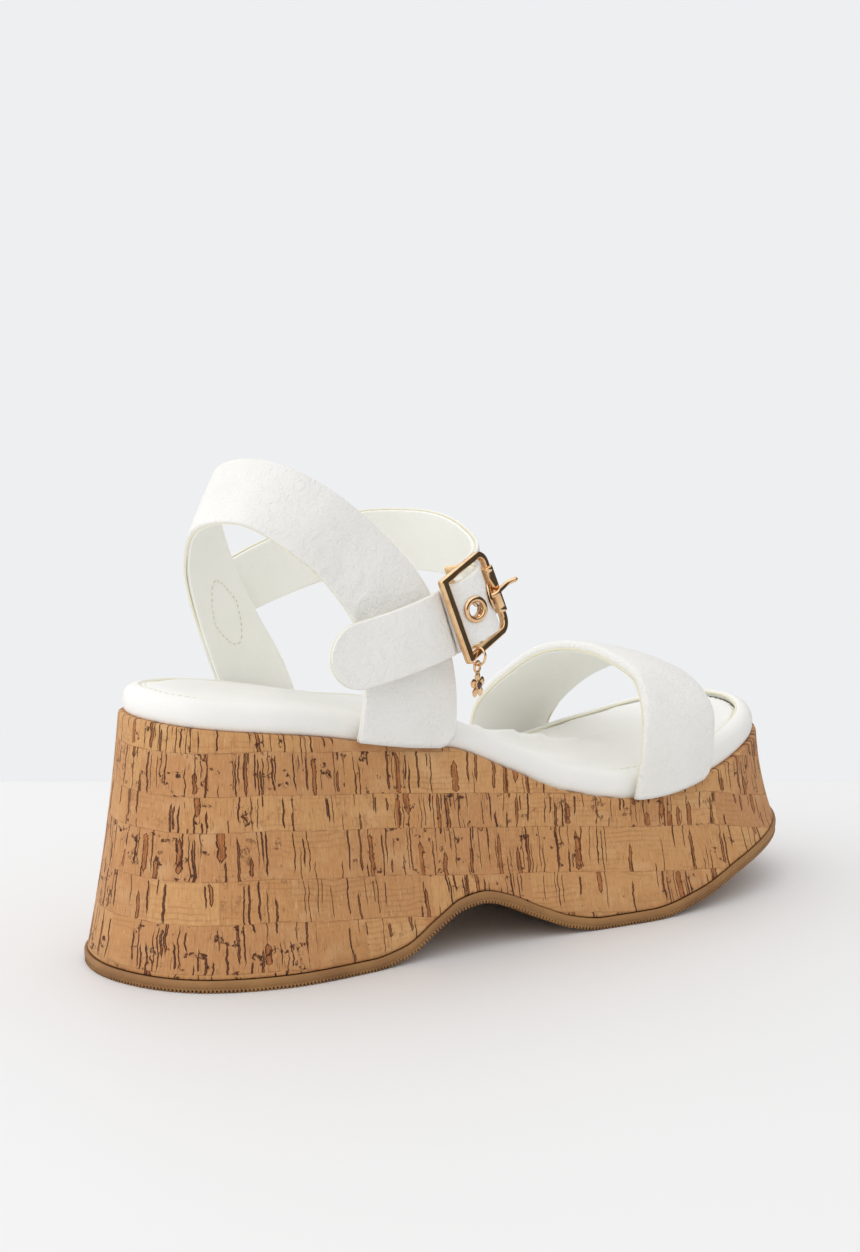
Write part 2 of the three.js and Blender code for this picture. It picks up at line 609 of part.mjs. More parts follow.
// Prong: from its ring on the centre bar, up through a hole, over the roller to a raised tip.
const prong_rest = roller_radius + clearance + prong_radius;
const prong_hole = eyelet_frames[1];
const hole_place = prong_hole.point.clone().sub(buckle_centre);
const alongHole = (distance) => [
  hole_place.dot(ahead) + distance * prong_hole.outward.dot(ahead),
  hole_place.dot(outward) + distance * prong_hole.outward.dot(outward),
];
const [above_s, above_n] = alongHole(3);
const prong_points = [
  [prong_ring, centre_bar_depth], [prong_ring + 0.8, centre_bar_depth + 1.3],
  alongHole(-2.6), alongHole(0), alongHole(1.8),
  [mix(above_s, half_length, 0.25), above_n + 0.15], [mix(above_s, half_length, 0.65), above_n - 0.35],
  [half_length, prong_rest], [half_length + 2.3, prong_rest - 0.1], [half_length + 4.2, prong_rest + 0.1],
  [half_length + 5.5, prong_rest + 0.8], [half_length + 6.4, prong_rest + 1.6],
].map(([s, n]) => V(s, 0, n));
const prong_eye = new THREE.TorusGeometry(prong_ring, prong_ring_wire, 8, 14)
  .rotateX(Math.PI / 2)
  .translate(0, 0, centre_bar_depth);
const prong_tip = new THREE.SphereGeometry(prong_radius, 8, 6).translate(...prong_points.at(-1).toArray());
add('buckle_prong', join(prong_eye, bentBar(prong_points, prong_radius, 24), prong_tip), 'rose_gold', buckle);

// Leather tab: folded round the centre bar, its two layers sewn flat on the heel strap.
const tab_width = 17;
const tab_leather = 1;
const tab_bore = centre_bar_radius + clearance;
const tab_outer = tab_bore + tab_leather;
const tab_half = tab_leather + 0.05;
const tab_under_bar = depth_at_rear - strap_half - clearance - tab_half - 0.15;
const tab_end = half_length + 16.3;
const tab_middle = [
  [-tab_outer - 1, Math.max(centre_bar_depth - 0.15, tab_under_bar)], [-half_length, tab_under_bar],
  [-half_length - 7.8, tab_under_bar - 1.75], [-tab_end, tab_under_bar - 4.6],
];
const tab_shape = new THREE.Shape();
const join_angle = Math.asin(tab_half / tab_outer);
tab_shape.absarc(0, centre_bar_depth, tab_outer, Math.PI - join_angle, join_angle - Math.PI, true);
tab_middle.forEach(([s, n]) => tab_shape.lineTo(s, n - tab_half));
[...tab_middle].reverse().forEach(([s, n]) => tab_shape.lineTo(s, n + tab_half));
const tab_hole = new THREE.Path();
tab_hole.absarc(0, centre_bar_depth, tab_bore, 0, 2 * Math.PI, false);
tab_shape.holes.push(tab_hole);
const tab_look = { depth: tab_width, bevelEnabled: false, curveSegments: 10 };
const tab_body = new THREE.ExtrudeGeometry(tab_shape, tab_look)
  .rotateX(Math.PI / 2)
  .translate(0, tab_width / 2, 0);
const slot_width = 2 * (prong_ring_wire + 2 * clearance);
const slot_reach = 2 * (prong_ring + prong_ring_wire + clearance);
const prong_slot = new THREE.BoxGeometry(slot_reach + 3, slot_width, slot_reach + 3)
  .translate(1, 0, centre_bar_depth);
const tab = cut(tab_body, prong_slot).applyMatrix4(buckle.matrix);
const heel_clear = strapLayer(heel_route, heel_strap_width, -heel_strap_width / 4, strap_half + clearance,
  { ...heel_part, trim: -clearance });
add('buckle_tab', cut(tab, heel_clear), 'white_leather');

// ---------------------------------------------------------------- charm
const charm_station = -0.61 * half_length;
const bar_point = buckleToWorld(charm_station, -half_height, 0);
const bar_way = V(ahead.x, ahead.y, 0).normalize();
const face_way = V(-bar_way.y, bar_way.x, 0).negate();
const ring_drop = ring_radius - ring_wire - bar_radius - clearance;
const ring_centre = bar_point.clone().add(V(0, 0, -ring_drop));

// Hangs a piece that is drawn in its own XY plane so that it faces the given way.
function standOn(mesh, facing, spot) {
  const side = V().crossVectors(V(0, 0, 1), facing).normalize();
  mesh.quaternion.setFromRotationMatrix(new THREE.Matrix4().makeBasis(side, V(0, 0, 1), facing));
  mesh.position.copy(spot);
}
const ring_body = closedRound(new THREE.TorusGeometry(ring_radius, ring_wire, 7, 20));
standOn(add('charm_ring', ring_body, 'rose_gold'), bar_way, ring_centre);

const bail_radius = 1.7;
const bail_wire = 0.42;
const bail_drop = ring_radius + bail_radius - bail_wire - ring_wire - clearance;
const bail_centre = ring_centre.clone().add(V(0, 0, -bail_drop));
const flower_drop = bail_radius + flower_radius - 0.2;
const petal_count = 5;
const petal_depth = 0.2;                                // share of the radius between two petals
const petal_edge = 0.4;
const outline = [];
for (let i = 0; i < 30; i++) {
  const angle = (2 * Math.PI * i) / 30;
  const wave = Math.cos(petal_count * (angle - Math.PI / 2));
  const reach = flower_radius * (1 - petal_depth + petal_depth * wave);
  outline.push(new THREE.Vector2(reach * Math.cos(angle), reach * Math.sin(angle)));
}
const flower_body = new THREE.ExtrudeGeometry(new THREE.Shape(outline), {
  depth: flower_thickness - 2 * petal_edge,
  bevelThickness: petal_edge,
  bevelSize: petal_edge,
  bevelOffset: -petal_edge,
  bevelSegments: 1,
}).translate(0, -flower_drop, petal_edge - flower_thickness / 2);
const bail = new THREE.TorusGeometry(bail_radius, bail_wire, 7, 14);
const neck_foot = flower_radius - flower_drop - 2 * petal_edge;
const neck = rod(V(0, -bail_radius, 0), V(0, neck_foot, 0), 0.5, 8);
standOn(add('flower_charm', join(flower_body, bail, neck), 'rose_gold'), face_way, bail_centre);
const stone_spot = bail_centre.clone().add(V(0, 0, -flower_drop))
  .addScaledVector(face_way, flower_thickness / 2 + clearance);
const stone_profile = [[0, 0], [1.3, 0], [1.3, 0.25], [1, 0.75], [0.5, 0.95], [0, 1]];
const stone_dome = turned(stone_profile, 12).rotateX(Math.PI / 2);
standOn(add('flower_stone', stone_dome, 'dark_stone'), face_way, stone_spot);

// ---------------------------------------------------------------- origin at the middle of the base
sandal.updateMatrixWorld(true);
const box = new THREE.Box3().setFromObject(sandal);
const middle = box.getCenter(V());
sandal.position.set(-middle.x, -middle.y, -box.min.z);

export default sandal;
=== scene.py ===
"""A cork-wrapped wedge sandal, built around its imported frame: fine meshes for the sole, footbed,
straps and buckle, stitches and tread by Geometry Nodes, and node materials for every surface.

Pieces are drawn in millimetres in the sole's own frame (heel edge of the footbed at x = 0, floor
at z = 0), and make_mesh moves them into the shared frame, in metres."""
import math

import bmesh
import bpy
import numpy as np
from mathutils import Matrix, Vector, noise
from mathutils.bvhtree import BVHTree


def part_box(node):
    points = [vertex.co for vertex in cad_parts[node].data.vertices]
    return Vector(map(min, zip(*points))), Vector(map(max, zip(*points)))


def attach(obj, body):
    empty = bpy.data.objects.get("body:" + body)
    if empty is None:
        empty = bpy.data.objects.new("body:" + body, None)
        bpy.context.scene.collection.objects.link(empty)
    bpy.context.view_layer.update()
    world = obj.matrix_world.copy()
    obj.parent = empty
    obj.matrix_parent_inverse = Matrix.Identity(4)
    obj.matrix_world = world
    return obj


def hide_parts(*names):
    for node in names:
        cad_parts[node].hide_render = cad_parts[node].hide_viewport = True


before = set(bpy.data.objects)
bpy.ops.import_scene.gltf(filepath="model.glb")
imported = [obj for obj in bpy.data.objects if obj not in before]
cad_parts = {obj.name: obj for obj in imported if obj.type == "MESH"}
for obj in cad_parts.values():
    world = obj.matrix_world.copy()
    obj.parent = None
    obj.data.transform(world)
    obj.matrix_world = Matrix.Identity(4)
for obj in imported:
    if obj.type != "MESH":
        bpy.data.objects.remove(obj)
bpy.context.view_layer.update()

# ------------------------------------------------------------------ sizes, in millimetres
HEEL_HEIGHT, BALL_HEIGHT, TOE_HEIGHT = 80.5, 40.5, 52
ARCH_RISE, TOE_SPRING = 15, 17
HEEL_FLARE, TOE_FLARE = 11, 6.5
OUTSOLE_THICKNESS, OUTSOLE_LIP = 4, 1
CLEARANCE = 0.3
WALL_HOLLOW = 1.1                 # the wedge's wall is drawn in this much at half height
RIM_TOP, RIM_WIDTH, RIM_SETBACK = 9, 5.2, 1.7
VAMP_WIDTH, HEEL_STRAP_WIDTH, ANKLE_STRAP_WIDTH = 33, 24.5, 21
STRAP_HALF = 1.25                 # half the thickness of a strap with its lining
VAMP_HALF = 2.05                  # the same for the padded vamp strap
BAR_RADIUS, REAR_BAR_WIDTH, CENTRE_BAR_RADIUS = 1.1, 3.4, 0.9
HALF_LENGTH = 12.2                # buckle, centre to its rear and front bars
HALF_HEIGHT = 13.2                # buckle, centre to its side bars
ROLLER_RADIUS, ROLLER_LENGTH, PRONG_RADIUS = 2, 15.6, 0.8
HOLE_RADIUS, HOLE_PITCH, HOLE_COUNT, FLANGE_RADIUS = 2.5, 8.8, 5, 4.3
RING_RADIUS, RING_WIRE = 2.9, 0.45
FLOWER_RADIUS, BAIL_RADIUS, BAIL_WIRE = 4.3, 1.7, 0.42
BAND_LINES = (5.9, 20.6, 33.6, 48.3, 59.2, 72.5)     # heights where one band of cork meets the next


# ------------------------------------------------------------------ curves
def mix(a, b, t):
    return a + (b - a) * t


def clamp01(t):
    return min(1.0, max(0.0, t))


def ease(t):
    t = clamp01(t)
    return t * t * (3 - 2 * t)


def smooth_table(pairs):
    """A smooth curve through [x, value] pairs that never overshoots."""
    xs = [p[0] for p in pairs]
    runs = [b[0] - a[0] for a, b in zip(pairs, pairs[1:])]
    slopes = [(b[1] - a[1]) / (b[0] - a[0]) for a, b in zip(pairs, pairs[1:])]
    tangents = []
    for i in range(len(pairs)):
        before = slopes[max(i - 1, 0)]
        after = slopes[min(i, len(slopes) - 1)]
        tangents.append(0 if before * after <= 0 else 2 * before * after / (before + after))

    def value(x):
        if x <= xs[0]:
            return pairs[0][1]
        if x >= xs[-1]:
            return pairs[-1][1]
        i = next(k for k, place in enumerate(xs) if place > x) - 1
        t = (x - xs[i]) / runs[i]
        lean = t * (1 - t) * ((1 - t) * tangents[i] - t * tangents[i + 1]) * runs[i]
        return mix(pairs[i][1], pairs[i + 1][1], t * t * (3 - 2 * t)) + lean

    return value


def catmull(points, closed=False):
    """Centripetal Catmull-Rom curve through points of any dimension, as a function of 0..1."""
    p = [np.array(q, float) for q in points]
    n = len(p)

    def at(t):
        spans = n if closed else n - 1
        place = (t % 1.0) * spans if closed else clamp01(t) * spans
        i = min(int(place), spans - 1)
        w = place - i
        if closed:
            a, b, c, d = (p[(i + k) % n] for k in (-1, 0, 1, 2))
        else:
            b, c = p[i], p[i + 1]
            a = p[i - 1] if i > 0 else 2 * p[0] - p[1]
            d = p[i + 2] if i + 2 < n else 2 * p[-1] - p[-2]
        d0, d1, d2 = (max(np.linalg.norm((v - u)[:3]), 1e-4) ** 0.5 for u, v in ((a, b), (b, c), (c, d)))
        m1 = ((b - a) / d0 - (c - a) / (d0 + d1) + (c - b) / d1) * d1
        m2 = ((c - b) / d1 - (d - b) / (d1 + d2) + (d - c) / d2) * d1
        return b + w * (m1 + w * ((-3 * b + 3 * c - 2 * m1 - m2) + w * (2 * b - 2 * c + m1 + m2)))

    return at


def circle(count):
    """Cosine and sine of evenly spaced angles, once round."""
    return [(math.cos(2 * math.pi * k / count), math.sin(2 * math.pi * k / count)) for k in range(count)]


def unit(v):
    return v / max(np.linalg.norm(v), 1e-12)


# ------------------------------------------------------------------ the sole's plan and heights
plan_curve = catmull([
    (0, 0), (8, -21), (30, -32), (70, -32.5), (110, -34), (150, -39.7), (180, -41), (215, -33.2),
    (240, -16.6), (250, 3.7), (246, 22), (225, 35), (195, 39.7), (165, 35.5), (125, 26.5), (85, 27),
    (50, 30.5), (25, 31), (6, 19)], closed=True)
PLAN_STEPS = 1200
plan_line = np.array([plan_curve(i / PLAN_STEPS) for i in range(PLAN_STEPS)])


def even_plan(count):
    """The plan's outline as evenly spaced points, with outward normals and distance along it."""
    closed = np.vstack([plan_line, plan_line[:1]])
    run = np.concatenate([[0], np.cumsum(np.linalg.norm(np.diff(closed, axis=0), axis=1))])
    places = np.linspace(0, run[-1], count, endpoint=False)
    points = np.stack([np.interp(places, run, closed[:, k]) for k in (0, 1)], axis=1)
    along = np.roll(points, -2, axis=0) - np.roll(points, 2, axis=0)
    along /= np.linalg.norm(along, axis=1, keepdims=True)
    return points, np.stack([along[:, 1], -along[:, 0]], axis=1), places, run[-1]


cork_top = smooth_table([
    (0, HEEL_HEIGHT), (40, mix(BALL_HEIGHT, HEEL_HEIGHT, 0.875)), (78, mix(BALL_HEIGHT, HEEL_HEIGHT, 0.68)),
    (98, mix(BALL_HEIGHT, HEEL_HEIGHT, 0.6)), (120, mix(BALL_HEIGHT, HEEL_HEIGHT, 0.36)),
    (140, mix(BALL_HEIGHT, HEEL_HEIGHT, 0.135)), (168, BALL_HEIGHT),
    (200, mix(BALL_HEIGHT, TOE_HEIGHT, 0.28)), (225, mix(BALL_HEIGHT, TOE_HEIGHT, 0.67)), (250, TOE_HEIGHT)])
tread_height = smooth_table([
    (0, 0), (60, 0), (72, 0.12 * ARCH_RISE), (86, 0.63 * ARCH_RISE), (95, 0.93 * ARCH_RISE),
    (103, ARCH_RISE), (113, 0.83 * ARCH_RISE), (125, 0.46 * ARCH_RISE), (138, 0.12 * ARCH_RISE),
    (149, 0), (168, 0), (190, 0.2 * TOE_SPRING), (213, 0.59 * TOE_SPRING), (256, TOE_SPRING)])


def flare(x):
    return mix(HEEL_FLARE, TOE_FLARE, clamp01((x - 60) / 80))


def ring_level(plan, offset, height):
    """One closed loop round the sole: the plan moved outward by offset(x), at height(x)."""
    points, normals = plan[0], plan[1]
    loop = []
    for p, n in zip(points, normals):
        spot = p + n * offset(p[0])
        loop.append((spot[0], spot[1], height(spot[0])))
    return np.array(loop)


# The shared frame's origin is the middle of the base: the heel end of the outsole gives the move.
rough_plan = even_plan(600)
outsole_loop = ring_level(rough_plan, lambda x: flare(x) + OUTSOLE_LIP, tread_height)
outsole_low, outsole_high = (np.array(corner) * 1000 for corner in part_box("outsole"))
SHIFT = (outsole_low + outsole_high) / 2 - (outsole_loop.min(axis=0) + outsole_loop.max(axis=0)) / 2
SHIFT[2] = 0


def to_frame(p):
    """A point in the sole's frame, in millimetres, as a point in the shared frame, in metres."""
    return (np.asarray(p, float) + SHIFT) * 0.001


# ------------------------------------------------------------------ meshes
def make_mesh(name, points, faces, material, uv=None, smooth=True):
    """A new object from points in the sole's frame. uv holds one pair for each corner of each face."""
    mesh = bpy.data.meshes.new(name)
    mesh.from_pydata([tuple(v) for v in to_frame(points)], [], [tuple(f) for f in faces])
    if uv is not None:
        layer = mesh.uv_layers.new(name="wrap")
        layer.data.foreach_set("uv", np.asarray(uv, np.float32).ravel())
    work = bmesh.new()
    work.from_mesh(mesh)
    bmesh.ops.recalc_face_normals(work, faces=work.faces)
    work.to_mesh(mesh)
    work.free()
    mesh.shade_smooth() if smooth else mesh.shade_flat()
    mesh.materials.append(material)
    thing = bpy.data.objects.new(name, mesh)
    bpy.context.scene.collection.objects.link(thing)
    return thing


def grid_mesh(name, grid, material, loop=True, ring=False, lid=True, scale=None, smooth=True):
    """Skins a grid of points. Columns close on themselves if loop, rows if ring; lid closes the ends.
    scale, a grid of (u, v) pairs with one more row and column than the faces, becomes the UV map."""
    grid = np.asarray(grid, float)
    rows, cols = grid.shape[:2]
    faces, uv = [], []
    for i in range(rows if ring else rows - 1):
        for j in range(cols if loop else cols - 1):
            corners = ((i, j), (i, j + 1), (i + 1, j + 1), (i + 1, j))
            faces.append([(a % rows) * cols + b % cols for a, b in corners])
            if scale is not None:
                uv += [scale[a][b] for a, b in corners]
    if lid and not ring:
        for ends in (list(range(cols))[::-1], [(rows - 1) * cols + j for j in range(cols)]):
            faces.append(ends)
            if scale is not None:
                uv += [(0, 0)] * cols
    return make_mesh(name, grid.reshape(-1, 3), faces, material, uv if scale is not None else None, smooth)


def bake_modifiers(thing):
    """Turns an object with live modifiers into a plain mesh."""
    graph = bpy.context.evaluated_depsgraph_get()
    mesh = bpy.data.meshes.new_from_object(thing.evaluated_get(graph))
    thing.modifiers.clear()
    thing.data = mesh
    return thing


def joined(name, things):
    """Several objects as one, with their materials kept."""
    with bpy.context.temp_override(active_object=things[0], selected_editable_objects=things):
        bpy.ops.object.join()
    things[0].name = name
    return things[0]


def turned(name, profile, place, axis, material, sides=48):
    """A closed profile of (radius, height) turned round an axis through place."""
    axis = unit(np.array(axis, float))
    side = unit(np.cross(axis, (0.3, 0.2, 0.9)))
    other = np.cross(axis, side)
    place = np.array(place, float)
    grid = []
    for c, s in circle(sides):
        out = side * c + other * s
        grid.append([place + out * r + axis * h for r, h in profile])
    return grid_mesh(name, grid, material, loop=True, ring=True)


def tube(name, path, radius, material, sides=20, closed=False):
    """A round wire along a list of points, with rounded ends unless it is closed."""
    path = np.array(path, float)
    if closed:
        along = np.roll(path, -1, axis=0) - np.roll(path, 1, axis=0)
    else:
        along = np.gradient(path, axis=0)
    along = np.array([unit(a) for a in along])
    up = unit(np.cross(along[0], (0.31, 0.74, 0.59)))
    sections = []

    def section(centre, forward, r):
        nonlocal up
        up = unit(up - forward * np.dot(up, forward))
        across = np.cross(forward, up)
        return [centre + r * (up * c + across * s) for c, s in circle(sides)]

    cap = [] if closed else [(math.cos(a), radius * math.sin(a)) for a in np.radians((84, 60, 35, 15))]
    for share, reach in cap:
        sections.append(section(path[0] - along[0] * reach, along[0], radius * share))
    for centre, forward in zip(path, along):
        sections.append(section(centre, forward, radius))
    for share, reach in reversed(cap):
        sections.append(section(path[-1] + along[-1] * reach, along[-1], radius * share))
    return grid_mesh(name, sections, material, loop=True, ring=closed)


# ------------------------------------------------------------------ material kit
def linear(hex_colour):
    """An sRGB hex colour as the linear RGBA that shader sockets hold."""
    parts = [int(hex_colour[i:i + 2], 16) / 255 for i in (0, 2, 4)]
    return tuple(c / 12.92 if c <= 0.04045 else ((c + 0.055) / 1.055) ** 2.4 for c in parts) + (1.0,)


class Nodes:
    """Short names for building a node tree."""

    def __init__(self, tree):
        self.tree = tree

    def new(self, kind, **settings):
        node = self.tree.nodes.new(kind)
        for key, value in settings.items():
            setattr(node, key, value)
        return node

    def put(self, value, socket):
        if isinstance(value, bpy.types.NodeSocket):
            self.tree.links.new(value, socket)
        elif value is not None:
            socket.default_value = value

    def math(self, operation, a, b=None, c=None, clamp=False):
        node = self.new("ShaderNodeMath", operation=operation, use_clamp=clamp)
        for value, socket in zip((a, b, c), node.inputs):
            self.put(value, socket)
        return node.outputs[0]

    def add(self, a, b):
        return self.math("ADD", a, b)

    def minus(self, a, b, clamp=False):
        return self.math("SUBTRACT", a, b, clamp=clamp)

    def times(self, a, b):
        return self.math("MULTIPLY", a, b)

    def most(self, a, b):
        return self.math("MAXIMUM", a, b)

    def step(self, value, low, high, smooth=True):
        """0 below low, 1 above high; low may be above high."""
        node = self.new("ShaderNodeMapRange", interpolation_type="SMOOTHSTEP" if smooth else "LINEAR")
        for key, item in (("Value", value), ("From Min", low), ("From Max", high)):
            self.put(item, node.inputs[key])
        return node.outputs[0]

    def xyz(self, x=0.0, y=0.0, z=0.0):
        node = self.new("ShaderNodeCombineXYZ")
        for value, socket in zip((x, y, z), node.inputs):
            self.put(value, socket)
        return node.outputs[0]

    def split(self, vector):
        node = self.new("ShaderNodeSeparateXYZ")
        self.put(vector, node.inputs[0])
        return node.outputs

    def noise(self, vector, scale=1.0, detail=2.0, rough=0.5):
        node = self.new("ShaderNodeTexNoise")
        for key, item in (("Vector", vector), ("Scale", scale), ("Detail", detail), ("Roughness", rough)):
            self.put(item, node.inputs[key])
        return node.outputs["Fac"]

    def cells(self, vector, scale=1.0, feature="DISTANCE_TO_EDGE"):
        node = self.new("ShaderNodeTexVoronoi", feature=feature)
        self.put(vector, node.inputs["Vector"])
        self.put(scale, node.inputs["Scale"])
        return node.outputs["Distance"]

    def random(self, vector):
        node = self.new("ShaderNodeTexWhiteNoise", noise_dimensions="3D")
        self.put(vector, node.inputs["Vector"])
        return node.outputs["Value"]

    def random_three(self, vector):
        node = self.new("ShaderNodeTexWhiteNoise", noise_dimensions="3D")
        self.put(vector, node.inputs["Vector"])
        return self.split(node.outputs["Color"])

    def blend(self, factor, a, b, mode="MIX"):
        node = self.new("ShaderNodeMix", data_type="RGBA", blend_type=mode)
        self.put(factor, node.inputs[0])
        self.put(a, node.inputs[6])
        self.put(b, node.inputs[7])
        return node.outputs[2]

    def bump(self, height, distance, strength=1.0):
        node = self.new("ShaderNodeBump")
        node.inputs["Distance"].default_value = distance
        node.inputs["Strength"].default_value = strength
        self.put(height, node.inputs["Height"])
        return node.outputs["Normal"]

    def group(self, tree, **values):
        node = self.new("ShaderNodeGroup", node_tree=tree)
        for key, value in values.items():
            self.put(value, node.inputs[key.replace("_", " ")])
        return node.outputs


def new_group(name, inputs, outputs):
    """An empty shader group with named inputs and outputs, and what builds it."""
    tree = bpy.data.node_groups.new(name, "ShaderNodeTree")
    for label, kind, default in inputs:
        socket = tree.interface.new_socket(label, in_out="INPUT", socket_type=kind)
        if default is not None:
            socket.default_value = default
    for label, kind in outputs:
        tree.interface.new_socket(label, in_out="OUTPUT", socket_type=kind)
    kit = Nodes(tree)
    return tree, kit, kit.new("NodeGroupInput").outputs, kit.new("NodeGroupOutput").inputs


def new_material(name, **sockets):
    """A material with its node kit and Principled shader; sockets set the shader's constants."""
    material = bpy.data.materials.new(name)
    material.use_nodes = True
    kit = Nodes(material.node_tree)
    shader = next(n for n in material.node_tree.nodes if n.type == "BSDF_PRINCIPLED")
    for key, value in sockets.items():
        shader.inputs[key.replace("_", " ")].default_value = value
    return material, kit, shader


FLOAT, COLOUR, VECTOR = "NodeSocketFloat", "NodeSocketColor", "NodeSocketVector"


def leather_grain_group():
    """Fine pebbles, soft wrinkles and a faint unevenness of tone, from a position in metres."""
    tree, kit, given, out = new_group(
        "leather_grain",
        [("Vector", VECTOR, None), ("Pebble Scale", FLOAT, 1500.0), ("Wrinkle Scale", FLOAT, 160.0),
         ("Wrinkle Amount", FLOAT, 0.5)],
        [("Height", FLOAT), ("Tone", FLOAT)])
    pebbles = kit.cells(given["Vector"], given["Pebble Scale"], "SMOOTH_F1")
    fine = kit.noise(given["Vector"], given["Pebble Scale"], 3.0, 0.6)
    warp = kit.noise(given["Vector"], 90.0, 2.0)
    bent = kit.new("ShaderNodeVectorMath", operation="ADD")
    kit.put(given["Vector"], bent.inputs[0])
    kit.put(kit.xyz(kit.times(warp, 0.01), 0.0, kit.times(warp, 0.004)), bent.inputs[1])
    folds = kit.noise(bent.outputs[0], given["Wrinkle Scale"], 4.0, 0.55)
    ridges = kit.math("ABSOLUTE", kit.minus(folds, 0.5))
    wrinkle = kit.step(ridges, 0.0, 0.12)
    pebble = kit.add(kit.times(pebbles, -0.6), kit.times(fine, 0.5))
    kit.put(kit.add(pebble, kit.times(wrinkle, given["Wrinkle Amount"])), out["Height"])
    kit.put(kit.noise(given["Vector"], 38.0, 3.0), out["Tone"])
    return tree


def painted_low_shade_group():
    """Painted shade: darker low on the piece, near the floor, broken into patches. Reads a position in
    metres.
    """
    tree, kit, given, out = new_group(
        "painted_low_shade", [("Vector", VECTOR, None), ("Height Low", FLOAT, 0.0), ("Height High", FLOAT, 0.01)],
        [("Mask", FLOAT)])
    height = kit.split(given["Vector"])[2]
    low = kit.step(height, given["Height High"], given["Height Low"])
    patches = kit.step(kit.noise(given["Vector"], 55.0, 4.0, 0.6), 0.42, 0.68)
    kit.put(kit.times(low, patches), out["Mask"])
    return tree


def bark_streak_group():
    """Upright openings in cork, a few to a block: dark at the edge, orange inside the wide ones.
    U and Height Share place a point in its band, and Row picks the band."""
    tree, kit, given, out = new_group(
        "bark_streaks",
        [("U", FLOAT, 0.0), ("Height Share", FLOAT, 0.5), ("Row", FLOAT, 0.0), ("Ragged", FLOAT, 0.5),
         ("Seed", FLOAT, 0.0), ("Spacing", FLOAT, 3.0), ("Thin", FLOAT, 0.15), ("Wide", FLOAT, 0.5),
         ("Amount", FLOAT, 0.4)],
        [("Dark", FLOAT), ("Orange", FLOAT)])
    place = kit.math("DIVIDE", given["U"], given["Spacing"])
    column = kit.math("FLOOR", place)
    across = kit.minus(kit.math("FRACT", place), 0.5)
    chance, shift, girth = kit.random_three(kit.xyz(column, given["Row"], given["Seed"]))
    start, reach, lean = kit.random_three(kit.xyz(column, given["Row"], kit.add(given["Seed"], 40.0)))
    present = kit.math("LESS_THAN", chance, given["Amount"])
    middle = kit.times(kit.minus(shift, 0.5), 0.5)
    tilt = kit.times(kit.minus(lean, 0.5), kit.minus(given["Height Share"], 0.5))
    middle = kit.add(middle, kit.times(tilt, 0.14))
    away = kit.times(kit.math("ABSOLUTE", kit.minus(across, middle)), given["Spacing"])

    # From the top or the bottom of the band, over a random share of its height.
    from_top = kit.math("GREATER_THAN", lean, 0.45)
    span = kit.add(0.3, kit.times(reach, 0.85))
    gap = kit.times(kit.minus(start, 0.6), 0.35)
    upward = kit.minus(given["Height Share"], gap)
    downward = kit.minus(kit.minus(1.0, given["Height Share"]), gap)
    run = kit.add(kit.times(from_top, downward),
                   kit.times(kit.minus(1.0, from_top), upward))
    along = kit.math("DIVIDE", run, span)
    ends = kit.times(kit.step(along, 0.0, 0.08), kit.step(along, 1.0, 0.75))
    width = kit.add(given["Thin"], kit.times(kit.math("POWER", girth, 2.0), given["Wide"]))
    rough = kit.add(0.35, kit.times(given["Ragged"], 1.3))
    width = kit.times(kit.times(width, ends), rough)
    inside = kit.times(kit.step(kit.minus(width, away), -0.04, 0.07), present)
    core = kit.step(kit.minus(kit.minus(width, away), 0.27), 0.0, 0.08)
    core = kit.times(core, present)
    kit.put(kit.minus(inside, core, clamp=True), out["Dark"])
    kit.put(core, out["Orange"])
    return tree


